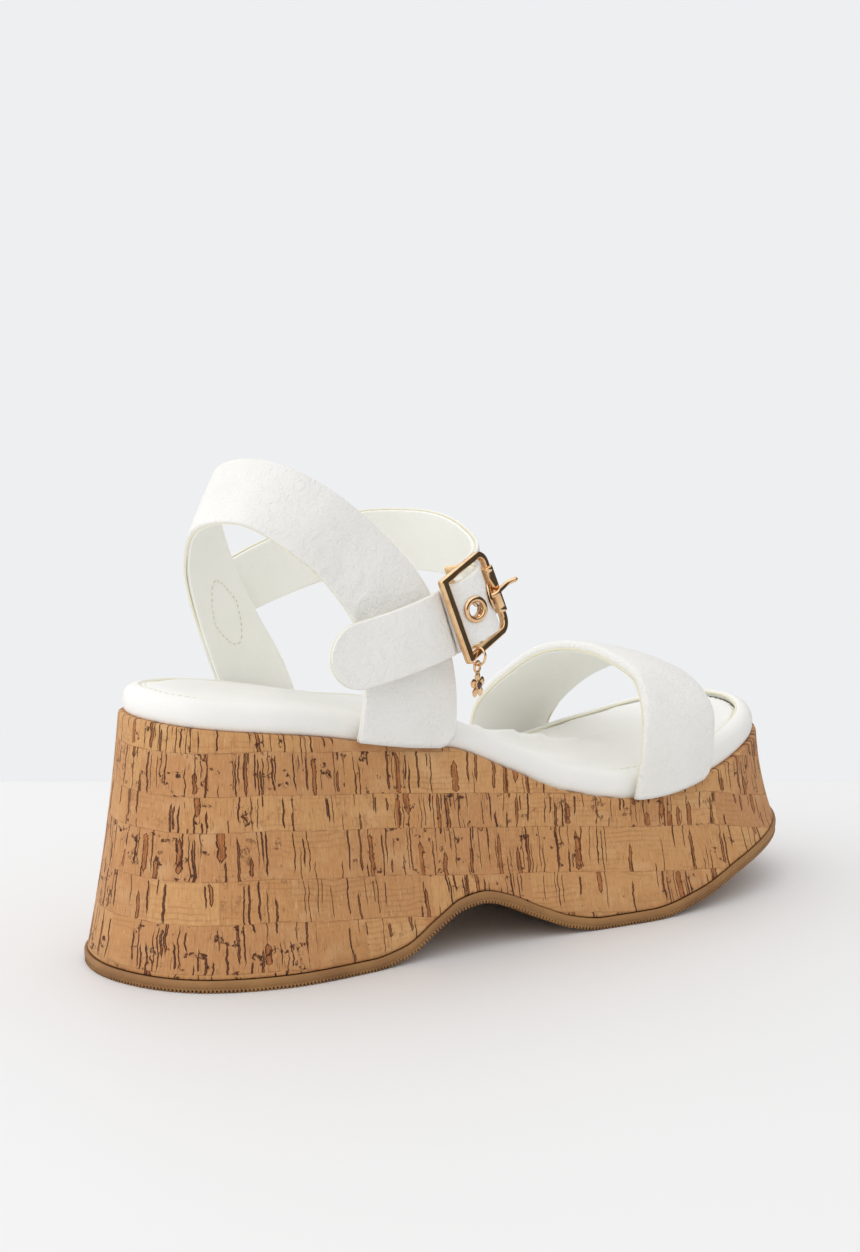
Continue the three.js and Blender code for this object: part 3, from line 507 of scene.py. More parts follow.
def cork_group():
    """Sliced cork laid in bands of blocks: growth lines, bark streaks and dark clots.
    Reads millimetres round the sole in X and millimetres up it in Y."""
    tree, kit, given, out = new_group(
        "cork_blocks", [("Vector", VECTOR, None), ("Block", FLOAT, 30.0)],
        [("Color", COLOUR), ("Height", FLOAT), ("Bark", FLOAT)])
    u, z, _ = kit.split(given["Vector"])

    # Bands: which one, how far up it, and how near its edge.
    sway = kit.times(kit.noise(kit.xyz(kit.times(u, 0.02), 0.0, 3.0)), 0.9)
    level = kit.add(z, sway)
    row, low, high, seam_row = 0.0, -8.0, BAND_LINES[0], 9.0
    for line, below, above in zip(BAND_LINES, (-8.0, *BAND_LINES), (*BAND_LINES[1:], BAND_LINES[-1] + 13)):
        over = kit.math("GREATER_THAN", level, line)
        row = kit.add(row, over)
        low = kit.add(low, kit.times(over, line - below))
        high = kit.add(high, kit.times(over, above - line))
        seam_row = kit.math("MINIMUM", seam_row, kit.math("ABSOLUTE", kit.minus(level, line)))
    height_share = kit.math("DIVIDE", kit.minus(level, low), kit.minus(high, low))

    # Blocks: uneven widths along each band, each with its own tone and its own share of bark.
    slid = kit.add(u, kit.times(kit.random(kit.xyz(row, 4.7, 0.3)), 400.0))
    uneven = kit.times(kit.math("SINE", kit.times(slid, 0.071)), 11.0)
    block = kit.math("DIVIDE", kit.add(slid, uneven), given["Block"])
    column = kit.math("FLOOR", block)
    in_block = kit.math("FRACT", block)
    tone, busy, drift = kit.random_three(kit.xyz(row, column, 1.5))
    drift = kit.times(drift, 60.0)

    def field(across, up, detail, rough, far=0.0):
        place = kit.xyz(kit.times(u, across), kit.times(z, up), kit.add(drift, far))
        return kit.noise(place, 1.0, detail, rough)

    # Clean cork: three tones, faint growth lines across it, and a fine upright grain.
    base = kit.blend(kit.step(tone, 0.05, 0.95, False), linear("c58f5b"), linear("d5a56d"))
    base = kit.blend(kit.times(kit.step(tone, 0.6, 0.62), 0.75), base, linear("bd8556"))
    rings = kit.add(kit.times(z, 3.6), kit.times(field(0.055, 0.05, 3.0, 0.55), 22.0))
    rings = kit.step(kit.math("SINE", rings), 0.1, 1.0)
    faint = kit.times(kit.step(busy, 0.62, 0.3), kit.step(field(0.05, 0.12, 2.0, 0.5, 9.0), 0.42, 0.62))
    base = kit.blend(kit.times(rings, kit.times(faint, 0.45)), base, linear("a8744a"))
    grain = field(2.4, 0.3, 3.0, 0.65)
    base = kit.blend(kit.times(kit.step(grain, 0.5, 0.78), 0.7), base, linear("b07a4b"))
    base = kit.blend(kit.times(kit.step(grain, 0.46, 0.25), 0.5), base, linear("e2bd8a"))
    mottle = field(0.35, 0.45, 5.0, 0.7, 17.0)
    base = kit.blend(kit.times(kit.step(mottle, 0.48, 0.75), 0.45), base, linear("b87d4c"))
    cloud = field(0.09, 0.12, 2.0, 0.5, 23.0)
    base = kit.blend(kit.times(kit.step(cloud, 0.5, 0.8), 0.35), base, linear("e0b888"))

    # Bark: thin cracks, wide openings, clots where they end, and small flecks.
    sway_u = kit.times(kit.minus(field(0.1, 0.16, 3.0, 0.6, 31.0), 0.5), 2.4)
    bent_u = kit.add(u, sway_u)
    ragged = field(1.0, 0.62, 4.0, 0.7, 5.0)
    many = kit.step(busy, 0.1, 0.75, False)
    clusters = kit.step(kit.noise(kit.xyz(kit.times(u, 0.11), row, 6.0), 1.0, 1.0), 0.34, 0.58)
    crowd = kit.times(many, clusters)
    cracks = kit.group(bark_streaks, U=bent_u, Height_Share=height_share, Row=row, Ragged=ragged, Seed=2.0,
                       Spacing=1.6, Thin=0.12, Wide=0.26, Amount=kit.add(0.18, kit.times(crowd, 0.75)))
    gaps = kit.group(bark_streaks, U=bent_u, Height_Share=height_share, Row=row, Ragged=ragged, Seed=7.0,
                     Spacing=3.8, Thin=0.26, Wide=1.0, Amount=kit.add(0.16, kit.times(crowd, 0.8)))
    fleck = kit.step(field(0.9, 0.9, 2.0, 0.6, 3.0), 0.72, 0.76)
    dash = kit.step(field(2.9, 0.2, 2.0, 0.6, 41.0), 0.63, 0.7)
    fleck = kit.most(fleck, kit.times(dash, kit.add(0.25, kit.times(crowd, 0.75))))
    clot = kit.times(kit.step(field(0.24, 0.3, 1.0, 0.5, 12.0), 0.61, 0.66), kit.step(ragged, 0.5, 0.56))
    clot = kit.times(clot, kit.step(busy, 0.3, 0.5))
    bark = kit.most(cracks["Dark"], gaps["Dark"])
    bark = kit.most(bark, kit.most(clot, kit.times(fleck, 0.8)))
    orange = kit.most(cracks["Orange"], gaps["Orange"])
    seam = kit.most(kit.step(seam_row, 0.3, 0.05), kit.times(kit.step(in_block, 0.009, 0.002), 0.7))
    seam = kit.times(seam, kit.times(kit.step(field(0.3, 0.4, 2.0, 0.5, 2.0), 0.4, 0.6), 0.45))

    filling = kit.blend(kit.step(grain, 0.4, 0.6), linear("b5703a"), linear("8f5730"))
    colour = kit.blend(kit.times(orange, 0.9), base, filling)
    purple = kit.blend(kit.step(mottle, 0.4, 0.62), linear("5a2e19"), linear("3c2020"))
    colour = kit.blend(kit.times(bark, 0.96), colour, purple)
    kit.put(kit.blend(seam, colour, linear("82532f")), out["Color"])
    hollow = kit.add(kit.times(bark, 0.8), kit.times(orange, 0.5))
    hollow = kit.add(hollow, kit.times(seam, 0.6))
    kit.put(kit.minus(kit.times(grain, 0.3), hollow), out["Height"])
    kit.put(bark, out["Bark"])
    return tree


leather_grain = leather_grain_group()
painted_low_shade = painted_low_shade_group()
bark_streaks = bark_streak_group()
cork_blocks = cork_group()


def position(kit):
    return kit.new("ShaderNodeTexCoord").outputs["Object"]


def leather(name, colour, shade, roughness, pebble=1500.0, wrinkle=0.5, depth=0.00022, folds=240.0):
    """Grained leather: base colour blended in random patches towards a second, warmer colour."""
    material, kit, shader = new_material(name, Specular_IOR_Level=0.4)
    place = position(kit)
    grain = kit.group(leather_grain, Vector=place, Pebble_Scale=pebble, Wrinkle_Scale=folds,
                      Wrinkle_Amount=wrinkle)
    tone = kit.step(grain["Tone"], 0.3, 0.75)
    kit.put(kit.blend(kit.times(tone, 0.6), linear(colour), linear(shade)), shader.inputs["Base Color"])
    rough = kit.add(roughness - 0.06, kit.times(grain["Tone"], 0.12))
    kit.put(rough, shader.inputs["Roughness"])
    kit.put(kit.bump(grain["Height"], depth), shader.inputs["Normal"])
    return material


def cork_material():
    material, kit, shader = new_material("cork_wrap", Specular_IOR_Level=0.3)
    wrap = kit.new("ShaderNodeUVMap", uv_map="wrap").outputs[0]
    to_mm = kit.new("ShaderNodeMapping")
    to_mm.inputs["Scale"].default_value = (1000, 1000, 1000)
    kit.put(wrap, to_mm.inputs["Vector"])
    cork = kit.group(cork_blocks, Vector=to_mm.outputs[0])
    # painted shade: the cork blends a quarter of the way towards dark brown 8d6742 low down, in patches
    low_shade = kit.group(painted_low_shade, Vector=position(kit), Height_Low=0.002, Height_High=0.016)["Mask"]
    kit.put(kit.blend(kit.times(low_shade, 0.25), cork["Color"], linear("8d6742")), shader.inputs["Base Color"])
    kit.put(kit.add(0.62, kit.times(cork["Bark"], 0.25)), shader.inputs["Roughness"])
    kit.put(kit.bump(cork["Height"], 0.00022), shader.inputs["Normal"])
    return material


def rubber_material():
    material, kit, shader = new_material("tan_rubber", Specular_IOR_Level=0.35)
    place = position(kit)
    fine = kit.noise(place, 900.0, 3.0, 0.6)
    cloud = kit.noise(place, 60.0, 3.0)
    # painted shade: the lowest 3 mm of rubber blends towards dark brown 6b4c2e, in patches
    low_shade = kit.group(painted_low_shade, Vector=place, Height_Low=0.0, Height_High=0.003)["Mask"]
    colour = kit.blend(kit.step(cloud, 0.3, 0.7), linear("946a42"), linear("a57a4b"))
    colour = kit.blend(kit.times(low_shade, 0.6), colour, linear("6b4c2e"))
    kit.put(colour, shader.inputs["Base Color"])
    kit.put(kit.add(0.5, kit.times(fine, 0.25)), shader.inputs["Roughness"])
    kit.put(kit.bump(fine, 0.00004), shader.inputs["Normal"])
    return material


def metal_material():
    material, kit, shader = new_material("rose_gold", Metallic=1.0)
    place = position(kit)
    smudge = kit.noise(place, 320.0, 3.0, 0.6)
    brushed = kit.noise(place, 2600.0, 2.0)
    colour = kit.blend(kit.step(smudge, 0.35, 0.7), linear("f0ca9c"), linear("dfb282"))
    kit.put(colour, shader.inputs["Base Color"])
    kit.put(kit.add(0.06, kit.times(kit.step(smudge, 0.4, 0.8), 0.06)), shader.inputs["Roughness"])
    kit.put(kit.bump(brushed, 0.000004), shader.inputs["Normal"])
    return material


def stone_material():
    material, kit, shader = new_material("dark_stone", Roughness=0.06, Coat_Weight=0.6, Coat_Roughness=0.04)
    place = position(kit)
    facets = kit.cells(place, 1400.0, "F1")
    colour = kit.blend(kit.step(facets, 0.1, 0.7), linear("2a1712"), linear("5a3526"))
    kit.put(colour, shader.inputs["Base Color"])
    kit.put(kit.bump(facets, 0.00012), shader.inputs["Normal"])
    return material


def thread_material():
    material, kit, shader = new_material("ivory_thread", Roughness=0.75)
    twist = kit.noise(position(kit), 3000.0, 2.0)
    colour = kit.blend(kit.step(twist, 0.3, 0.7), linear("dcd9c2"), linear("efecdc"))
    kit.put(colour, shader.inputs["Base Color"])
    kit.put(kit.bump(twist, 0.00004), shader.inputs["Normal"])
    return material


def hidden_material(name, colour, shade, scale):
    """Foam and board inside the sole."""
    material, kit, shader = new_material(name, Roughness=0.9)
    pores = kit.cells(position(kit), scale, "F1")
    tone = kit.blend(kit.step(pores, 0.1, 0.6), linear(shade), linear(colour))
    kit.put(tone, shader.inputs["Base Color"])
    kit.put(kit.bump(pores, 0.0002), shader.inputs["Normal"])
    return material


WHITE = leather("white_leather", "f4f3ef", "ecebe4", 0.52)
FOOTBED = leather("footbed_leather", "f6f5f1", "efeee8", 0.5, pebble=1900.0, wrinkle=0.25, depth=0.00008)
LINING = leather("ivory_lining", "f7f7f1", "f3f3ea", 0.6, pebble=2200.0, wrinkle=0.3, depth=0.0001)
EDGE = leather("turned_edge", "ece8cf", "e3dec0", 0.5, pebble=2600.0, wrinkle=0.1, depth=0.00002)
CORK = cork_material()
RUBBER = rubber_material()
METAL = metal_material()
STONE = stone_material()
THREAD = thread_material()


def refinish(node, material):
    """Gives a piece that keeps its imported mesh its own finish."""
    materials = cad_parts[node].data.materials
    materials.clear()
    materials.append(material)


refinish("platform_core", hidden_material("eva_foam", "ddd4bd", "cfc4a8", 700.0))
refinish("insole_board", hidden_material("fibreboard", "a58a66", "86704f", 1600.0))
refinish("buckle_tab", WHITE)


# ------------------------------------------------------------------ Geometry Nodes
def path_tree(name, build_unit, inputs):
    """A tree that sets a unit along the object's edges, every Spacing, facing along them."""
    tree = bpy.data.node_groups.new(name, "GeometryNodeTree")
    tree.interface.new_socket("Geometry", in_out="INPUT", socket_type="NodeSocketGeometry")
    for label, default in inputs:
        tree.interface.new_socket(label, in_out="INPUT", socket_type=FLOAT).default_value = default
    tree.interface.new_socket("Material", in_out="INPUT", socket_type="NodeSocketMaterial")
    tree.interface.new_socket("Geometry", in_out="OUTPUT", socket_type="NodeSocketGeometry")
    kit = Nodes(tree)
    given = kit.new("NodeGroupInput").outputs
    curve = kit.new("GeometryNodeMeshToCurve")
    kit.put(given["Geometry"], curve.inputs[0])
    even = kit.new("GeometryNodeResampleCurve", mode="LENGTH")
    kit.put(curve.outputs[0], even.inputs["Curve"])
    kit.put(given["Spacing"], even.inputs["Length"])
    turn = kit.new("FunctionNodeAlignRotationToVector", axis="X")
    kit.put(kit.new("GeometryNodeInputTangent").outputs[0], turn.inputs["Vector"])
    copies = kit.new("GeometryNodeInstanceOnPoints")
    kit.put(even.outputs[0], copies.inputs["Points"])
    kit.put(build_unit(kit, given), copies.inputs["Instance"])
    kit.put(turn.outputs[0], copies.inputs["Rotation"])
    real = kit.new("GeometryNodeRealizeInstances")
    kit.put(copies.outputs[0], real.inputs[0])
    smooth = kit.new("GeometryNodeSetShadeSmooth")
    kit.put(real.outputs[0], smooth.inputs[0])
    painted = kit.new("GeometryNodeSetMaterial")
    kit.put(smooth.outputs[0], painted.inputs[0])
    kit.put(given["Material"], painted.inputs["Material"])
    kit.put(painted.outputs[0], kit.new("NodeGroupOutput").inputs[0])
    return tree


def thread_unit(kit, given):
    """One stitch: a bead of thread, Length long and twice Radius thick."""
    bead = kit.new("GeometryNodeMeshUVSphere")
    bead.inputs["Segments"].default_value = 8
    bead.inputs["Rings"].default_value = 6
    bead.inputs["Radius"].default_value = 1.0
    sized = kit.new("GeometryNodeTransform")
    half = kit.times(given["Length"], 0.5)
    kit.put(bead.outputs[0], sized.inputs["Geometry"])
    kit.put(kit.xyz(half, given["Radius"], given["Radius"]), sized.inputs["Scale"])
    return sized.outputs[0]


def tooth_unit(kit, given):
    """One rib of the outsole's edge: a small pillar as tall as Height."""
    pillar = kit.new("GeometryNodeMeshCylinder")
    pillar.inputs["Vertices"].default_value = 6
    pillar.inputs["Radius"].default_value = 1.0
    pillar.inputs["Depth"].default_value = 1.0
    sized = kit.new("GeometryNodeTransform")
    kit.put(pillar.outputs[0], sized.inputs["Geometry"])
    kit.put(kit.xyz(given["Radius"], given["Radius"], given["Height"]), sized.inputs["Scale"])
    return sized.outputs[0]


stitch_tree = path_tree(
    "stitch_row", thread_unit, [("Spacing", 0.0028), ("Length", 0.002), ("Radius", 0.00022)])
rib_tree = path_tree(
    "edge_ribs", tooth_unit, [("Spacing", 0.0013), ("Height", 0.0014), ("Radius", 0.0005)])


def along_path(name, tree, path, material, closed=False, **sizes):
    """Runs a path tree over a line of points and keeps the result as a plain mesh."""
    points = to_frame(path)
    edges = [(i, i + 1) for i in range(len(points) - 1)]
    if closed:
        edges.append((len(points) - 1, 0))
    mesh = bpy.data.meshes.new(name)
    mesh.from_pydata([tuple(p) for p in points], edges, [])
    thing = bpy.data.objects.new(name, mesh)
    bpy.context.scene.collection.objects.link(thing)
    modifier = thing.modifiers.new("row", "NODES")
    modifier.node_group = tree
    sockets = {s.name: s.identifier for s in tree.interface.items_tree if s.in_out == "INPUT"}
    for label, value in sizes.items():
        modifier[sockets[label]] = value
    modifier[sockets["Material"]] = material
    return bake_modifiers(thing)


# ------------------------------------------------------------------ sole
plan = even_plan(360)
plan_run = np.append(plan[2], plan[3])


SKIN_INSET, TREAD_DEPTH = 9, 0.5      # how far the wall reaches in, and the depth between the tread's bars
BAR_COUNT, BAR_PITCH, BAR_INSET = 58, 4.25, 3.5


def build_outsole():
    """Rubber outsole with a lip, a ribbed lower edge and a barred tread."""
    lip = lambda inset: (lambda x: flare(x) + OUTSOLE_LIP - inset)
    lift = lambda rise: (lambda x: tread_height(x) + rise)
    thick = OUTSOLE_THICKNESS
    levels = [(SKIN_INSET, thick - 0.3), (0.9, thick - 0.3), (0.45, thick - 0.05), (0.12, thick - 0.45),
              (0, thick - 1.0), (0.05, 1.9), (0.3, 1.7), (0.35, 1.5), (0.3, 1.3), (0.4, 0.9), (1.0, 0.55),
              (SKIN_INSET, TREAD_DEPTH)]
    grid = [ring_level(plan, lip(inset), lift(rise)) for inset, rise in levels]
    wall = grid_mesh("outsole_wall", grid, RUBBER, loop=True, lid=False)
    ribs_path = ring_level(even_plan(600), lip(0.55), lift(0.72))
    ribs = along_path("outsole_ribs", rib_tree, ribs_path, RUBBER, closed=True,
                      Spacing=0.00125, Height=0.00144, Radius=0.00045)
    bars = []
    for k in range(BAR_COUNT):
        x = 2 + k * BAR_PITCH
        side = [p[1] for p in plan[0] if abs(p[0] - x) < 1.6]
        if len(side) < 2:
            continue
        outer = min(side) - flare(x) + BAR_INSET
        inner = max(side) + flare(x) - BAR_INSET
        bars.append(tread_bar(x, outer, inner))
    return joined("outsole_rubber", [wall, tread_floor(), ribs, *bars])


def tread_bar(x, outer, inner):
    """One zigzag bar across the tread."""
    steps = 28
    grid = []
    for i in range(steps + 1):
        y = mix(outer, inner, i / steps)
        wave = 0.9 * math.sin(i * math.pi / 2)
        z = tread_height(x + wave)
        taper = 1 if 0 < i < steps else 0.4
        grid.append([(x + wave + dx * taper, y, z + dz) for dx, dz in
                     ((-1.1, 0.6), (-0.8, 0.02), (0.8, 0.02), (1.1, 0.6), (0, 0.75))])
    return grid_mesh("tread_bar", grid, RUBBER, loop=True)


def tread_floor():
    """The underside between the bars, and the top face under the cork, as two skins across the sole."""
    rows = 150
    parts = []
    for rise in (TREAD_DEPTH, OUTSOLE_THICKNESS - 0.3):
        loop = ring_level(plan, lambda x: flare(x) + OUTSOLE_LIP - SKIN_INSET, lambda x: 0)
        tail, tip = int(np.argmin(loop[:, 0])), int(np.argmax(loop[:, 0]))
        sides = []
        for way in (1, -1):
            side = [loop[tail]]
            k = tail
            while k != tip:
                k = (k + way) % len(loop)
                side.append(loop[k])
            side = np.array(side)
            side[:, 0] = np.maximum.accumulate(side[:, 0])
            sides.append(side)
        grid = []
        for i in range(rows + 1):
            x = mix(loop[tail][0], loop[tip][0], (1 - math.cos(math.pi * i / rows)) / 2)
            left, right = (np.interp(x, s[:, 0], s[:, 1]) for s in sides)
            grid.append([(x, mix(left, right, j / 8), tread_height(x) + rise) for j in range(9)])
        parts.append(grid_mesh("tread_skin", grid, RUBBER, loop=False, lid=False))
    return joined("tread_floor", parts)


def build_cork():
    """Cork wrap: a wall all round, turned in over the top edge."""
    def wall(rise, inset):
        height = lambda x: mix(tread_height(x) + OUTSOLE_THICKNESS + 0.05, cork_top(x), rise)
        offset = lambda x: flare(x) * (1 - rise) - WALL_HOLLOW * 4 * rise * (1 - rise) - inset
        return ring_level(plan, offset, height)

    rises = [0, 0.004, *np.linspace(0.02, 0.96, 40), 0.985, 0.995]
    insets = [0.35, 0.05] + [0] * 40 + [0.03, 0.25]
    grid = [wall(rise, inset) for rise, inset in zip(rises, insets)]
    grid += [wall(1, 0.7), wall(1, 1.6), wall(1, 4.5)]
    scale = []
    for loop in grid:
        level = [p[2] + 0.12 * max(p[0] - 28, 0) + 0.12 * max(p[0] - 200, 0) for p in (*loop, loop[0])]
        scale.append([(run * 0.001, height * 0.001) for run, height in zip(plan_run, level)])
    return grid_mesh("cork_wall", grid, CORK, loop=True, lid=False, scale=scale)


# ------------------------------------------------------------------ footbed
def footbed_level(plan, inset, rise):
    return ring_level(plan, lambda x: -RIM_SETBACK - inset, lambda x: cork_top(x) + rise)


def rounded(points, steps):
    curve = catmull([(a, b, 0) for a, b in points])
    return [tuple(curve(i / steps)[:2]) for i in range(steps + 1)]


def build_rim():
    """Leather edge of the footbed: a smooth rounded band that dips into the seam."""
    outside = rounded([(0.9, -0.1), (0.3, 0.35), (-0.32, 2.2), (-0.2, RIM_TOP - 4.2), (0.7, RIM_TOP - 2.1),
                       (2.2, RIM_TOP - 0.75), (3.9, RIM_TOP - 0.12), (RIM_WIDTH - 0.35, RIM_TOP - 0.12),
                       (RIM_WIDTH + 0.05, RIM_TOP - 0.75)], 44)
    inside = [(RIM_WIDTH + 0.05, RIM_TOP - 2.2), (2.2, RIM_TOP - 2.6), (1.6, 2.5), (1.6, 0.2)]
    grid = [footbed_level(plan, inset, rise) for inset, rise in outside + inside]
    return grid_mesh("footbed_edge", grid, FOOTBED, loop=True, ring=True)


def puff(thing, voxel, pressure, most):
    """Swells a closed pad as cloth under pressure, and moves no point further than most (metres)."""
    remesh = thing.modifiers.new("remesh", "REMESH")
    remesh.mode = "VOXEL"
    remesh.voxel_size = voxel
    bake_modifiers(thing)
    rest = np.array([v.co for v in thing.data.vertices])
    cloth = thing.modifiers.new("cloth", "CLOTH")
    cloth.settings.use_pressure = True
    cloth.settings.uniform_pressure_force = pressure
    cloth.settings.effector_weights.gravity = 0
    cloth.settings.tension_stiffness = 12
    cloth.settings.compression_stiffness = 12
    for number in range(1, 21):
        bpy.context.scene.frame_set(number)
    graph = bpy.context.evaluated_depsgraph_get()
    swollen = thing.evaluated_get(graph).to_mesh()
    moved = np.array([v.co for v in swollen.vertices]) - rest
    thing.modifiers.clear()
    bpy.context.scene.frame_set(1)
    length = np.linalg.norm(moved, axis=1, keepdims=True)
    moved *= np.minimum(1, most / np.maximum(length, 1e-9))
    thing.data.vertices.foreach_set("co", (rest + moved).ravel())
    return thing


def build_cushion():
    """The padded top of the footbed, swollen between its seams."""
    tucked = RIM_WIDTH - 2.2          # the pad's side is hidden in the rim
    coarse = even_plan(140)
    levels = [(tucked + 2, RIM_TOP - 6.2), (tucked, RIM_TOP - 4.8), (tucked, RIM_TOP - 2.2),
              (tucked + 0.6, RIM_TOP - 0.9), (RIM_WIDTH + 2.6, RIM_TOP - 0.55)]
    grid = [footbed_level(coarse, a, b) for a, b in levels]
    grid += [toward_middle(grid[-1], share, 0.25) for share in (0.8, 0.55, 0.3, 0.1)]
    bottom = [toward_middle(grid[0], share, 0) for share in (0.1, 0.45, 0.8)]
    pad = grid_mesh("footbed_cushion", bottom + grid, FOOTBED, loop=True, lid=True)
    puff(pad, 0.003, 3.0, 0.0007)
    settle = pad.modifiers.new("settle", "SMOOTH")
    settle.factor = 0.5
    settle.iterations = 4
    fine = pad.modifiers.new("fine", "SUBSURF")
    fine.levels = 1
    fine.render_levels = 1
    bake_modifiers(pad)
    pad.data.materials.clear()
    pad.data.materials.append(FOOTBED)
    pad.data.shade_smooth()
    return pad


footbed_middle = smooth_table([(0, -0.5), (60, -0.8), (120, -3.6), (180, -1), (220, 0.5), (250, 3.5)])


def toward_middle(loop, share, rise):
    """A loop of the footbed drawn in across the sole: share 1 keeps its width."""
    out = loop.copy()
    middle = np.array([footbed_middle(x) for x in loop[:, 0]])
    out[:, 1] = middle + (loop[:, 1] - middle) * share
    centre = (loop[:, 0].min() + loop[:, 0].max()) / 2
    out[:, 0] = centre + (loop[:, 0] - centre) * mix(0.93, 1, share)
    above = np.mean(loop[:, 2] - [cork_top(x) for x in loop[:, 0]])
    out[:, 2] = [cork_top(x) + above + rise for x in out[:, 0]]
    return out


def laid_on(thing, path):
    """Drops a line of points onto the object's top."""
    mesh = thing.data
    skin = BVHTree.FromPolygons([v.co for v in mesh.vertices], [f.vertices for f in mesh.polygons])
    above = [Vector(to_frame(p)) + Vector((0, 0, 0.01)) for p in path]
    down = [skin.ray_cast(start, Vector((0, 0, -1)))[0] for start in above]
    return np.array([np.array(spot) * 1000 - SHIFT if spot else p for spot, p in zip(down, path)])


def build_footbed_stitches(pad):
    path = laid_on(pad, footbed_level(even_plan(500), RIM_WIDTH + 1.6, RIM_TOP))
    return along_path("footbed_stitches", stitch_tree, path, THREAD, closed=True,
                      Spacing=0.0027, Length=0.0021, Radius=0.00023)


def build_seam_cord():
    """A thin line of cement and folded edge at the bottom of the footbed's seam."""
    path = footbed_level(even_plan(300), RIM_WIDTH + 0.2, RIM_TOP - 0.75)
    return tube("footbed_seam", path, 0.4, EDGE, sides=8, closed=True)


# ------------------------------------------------------------------ straps
ROUTE_CELLS = 1600


def route(stations):
    """Frames along a strap. A station is x, y, z, outward x, y, z, width share, crown."""
    curve = catmull([[*s[:3], *unit(np.array(s[3:6], float)), *s[6:8]] for s in stations])
    rows = np.array([curve(k / ROUTE_CELLS) for k in range(ROUTE_CELLS + 1)])
    along = np.gradient(rows[:, :3], axis=0)
    along /= np.linalg.norm(along, axis=1, keepdims=True)
    across = np.cross(rows[:, 3:6], along)
    across /= np.linalg.norm(across, axis=1, keepdims=True)
    table = np.hstack([rows[:, :3], along, across, np.cross(along, across), rows[:, 6:8]])

    def at(t):
        place = clamp01(t) * ROUTE_CELLS
        cell = min(int(place), ROUTE_CELLS - 1)
        row = table[cell] + (table[cell + 1] - table[cell]) * (place - cell)
        return {"point": row[:3], "along": row[3:6], "across": row[6:9], "outward": row[9:12],
                "width": row[12], "crown": row[13]}

    return at


def section_loop(half, low, high, radius, cells=14, arc=5):
    """A rounded rectangle as (across, depth) pairs: along the top, round, back along the bottom."""
    radius = min(radius, half * 0.95, (high - low) / 2)
    flat = half - radius
    pairs = [(mix(-flat, flat, j / cells), high) for j in range(cells + 1)]
    corners = [(flat, high - radius, 90), (flat, low + radius, 0), (-flat, low + radius, -90),
               (-flat, high - radius, -180)]
    turned_corners = []
    for y, n, start in corners:
        angles = [math.radians(start - 90 * k / arc) for k in range(1, arc)]
        turned_corners.append([(y + radius * math.cos(a), n + radius * math.sin(a)) for a in angles])
    bottom = [(mix(flat, -flat, j / cells), low) for j in range(cells + 1)]
    middle = [(half, mix(low + radius, high - radius, 0.5))]
    return (pairs + turned_corners[0] + middle + turned_corners[1] + bottom + turned_corners[2]
            + [(-half, middle[0][1])] + turned_corners[3])


def strap(name, frames, width, low, high, material, steps=170, span=(0, 1), ends=None, edge=0.5, trim=0.0,
          thickness=None, half_at=None, ripple=None, fit=None):
    """A strap layer with rounded edges. ends(share, end) gives the route share where a line across
    the strap starts (end 0) or stops (end 1); ripple(t, share) lifts its outer face."""
    grid, scale = [], []
    for k in range(steps + 1):
        t_mid = mix(span[0], span[1], k / steps)
        here = frames(t_mid)
        half = (half_at(t_mid) if half_at else here["width"] * width / 2) - trim
        squeeze = thickness(t_mid) if thickness else 1
        loop = section_loop(half, low * squeeze, high * squeeze, edge)
        row, marks = [], []
        for y, n in loop:
            share = y / max(half + trim, 1e-6)
            t = t_mid
            if ends:
                t = mix(ends(share, 0), ends(share, 1), k / steps)
                here = frames(t)
            lift = here["crown"] * (1 - share * share)
            if ripple and n > 0:
                lift += ripple(t, share)
            spot = here["point"] + here["across"] * y + here["outward"] * (n + lift)
            row.append(fit(spot) if fit else spot)
            marks.append((k / steps * 0.25, y * 0.001))
        grid.append(row)
        scale.append(marks + [marks[0]])
    return grid_mesh(name, grid, material, loop=True, lid=True, scale=scale)


def seated_ends(frames, width, corner, lift=0.15):
    """Where each line across a strap meets the top of the cork, with corners rounded by corner(share)."""
    known = {}

    def height_over(t, share):
        here = frames(t)
        spot = here["point"] + here["across"] * share * here["width"] * width / 2
        return spot[2] - cork_top(spot[0]) - lift

    def find(share, end):
        key = (round(share, 3), end)
        if key not in known:
            goal = corner(share, end)
            low, high = (0.0, 0.25) if end == 0 else (1.0, 0.75)
            for _ in range(22):
                middle = (low + high) / 2
                if height_over(middle, share) < goal:
                    low = middle
                else:
                    high = middle
            known[key] = high
        return known[key]

    return find


def rounded_corner(share, side, radius_share, radius):
    """How far a rounded lower corner lifts at this share across; side is the corner's sign."""
    over = (share * side - (1 - radius_share)) / radius_share
    if over <= 0:
        return 0.0
    return radius * (1 - math.sqrt(max(0.0, 1 - min(over, 1) ** 2)))


vamp_route = route([
    (181.5, -40.3, 34, 0.05, -1, 0, 1.03, 0.9), (183.5, -42.4, 55, 0.05, -1, 0.1, 1, 0.9),
    (185.5, -39.2, 67.5, 0.15, -0.86, 0.48, 0.98, 0.9), (187, -31, 75.5, 0.26, -0.55, 0.79, 0.94, 0.9),
    (186, -19, 80, 0.26, -0.24, 0.93, 0.9, 0.9), (185, -6, 81.7, 0.26, 0, 0.97, 0.9, 0.9),
    (184.5, 7, 80.5, 0.23, 0.22, 0.94, 0.97, 0.9), (184, 19, 76.5, 0.16, 0.47, 0.86, 1.07, 0.9),
    (181.5, 29.5, 69.5, 0.05, 0.7, 0.71, 1.14, 0.9), (177.5, 36.5, 61, 0, 0.86, 0.52, 1.18, 0.9),
    (174, 39.5, 51.5, 0, 0.98, 0.2, 1.18, 0.9), (172.5, 38.6, 36, 0, 1, 0, 1.18, 0.9)])
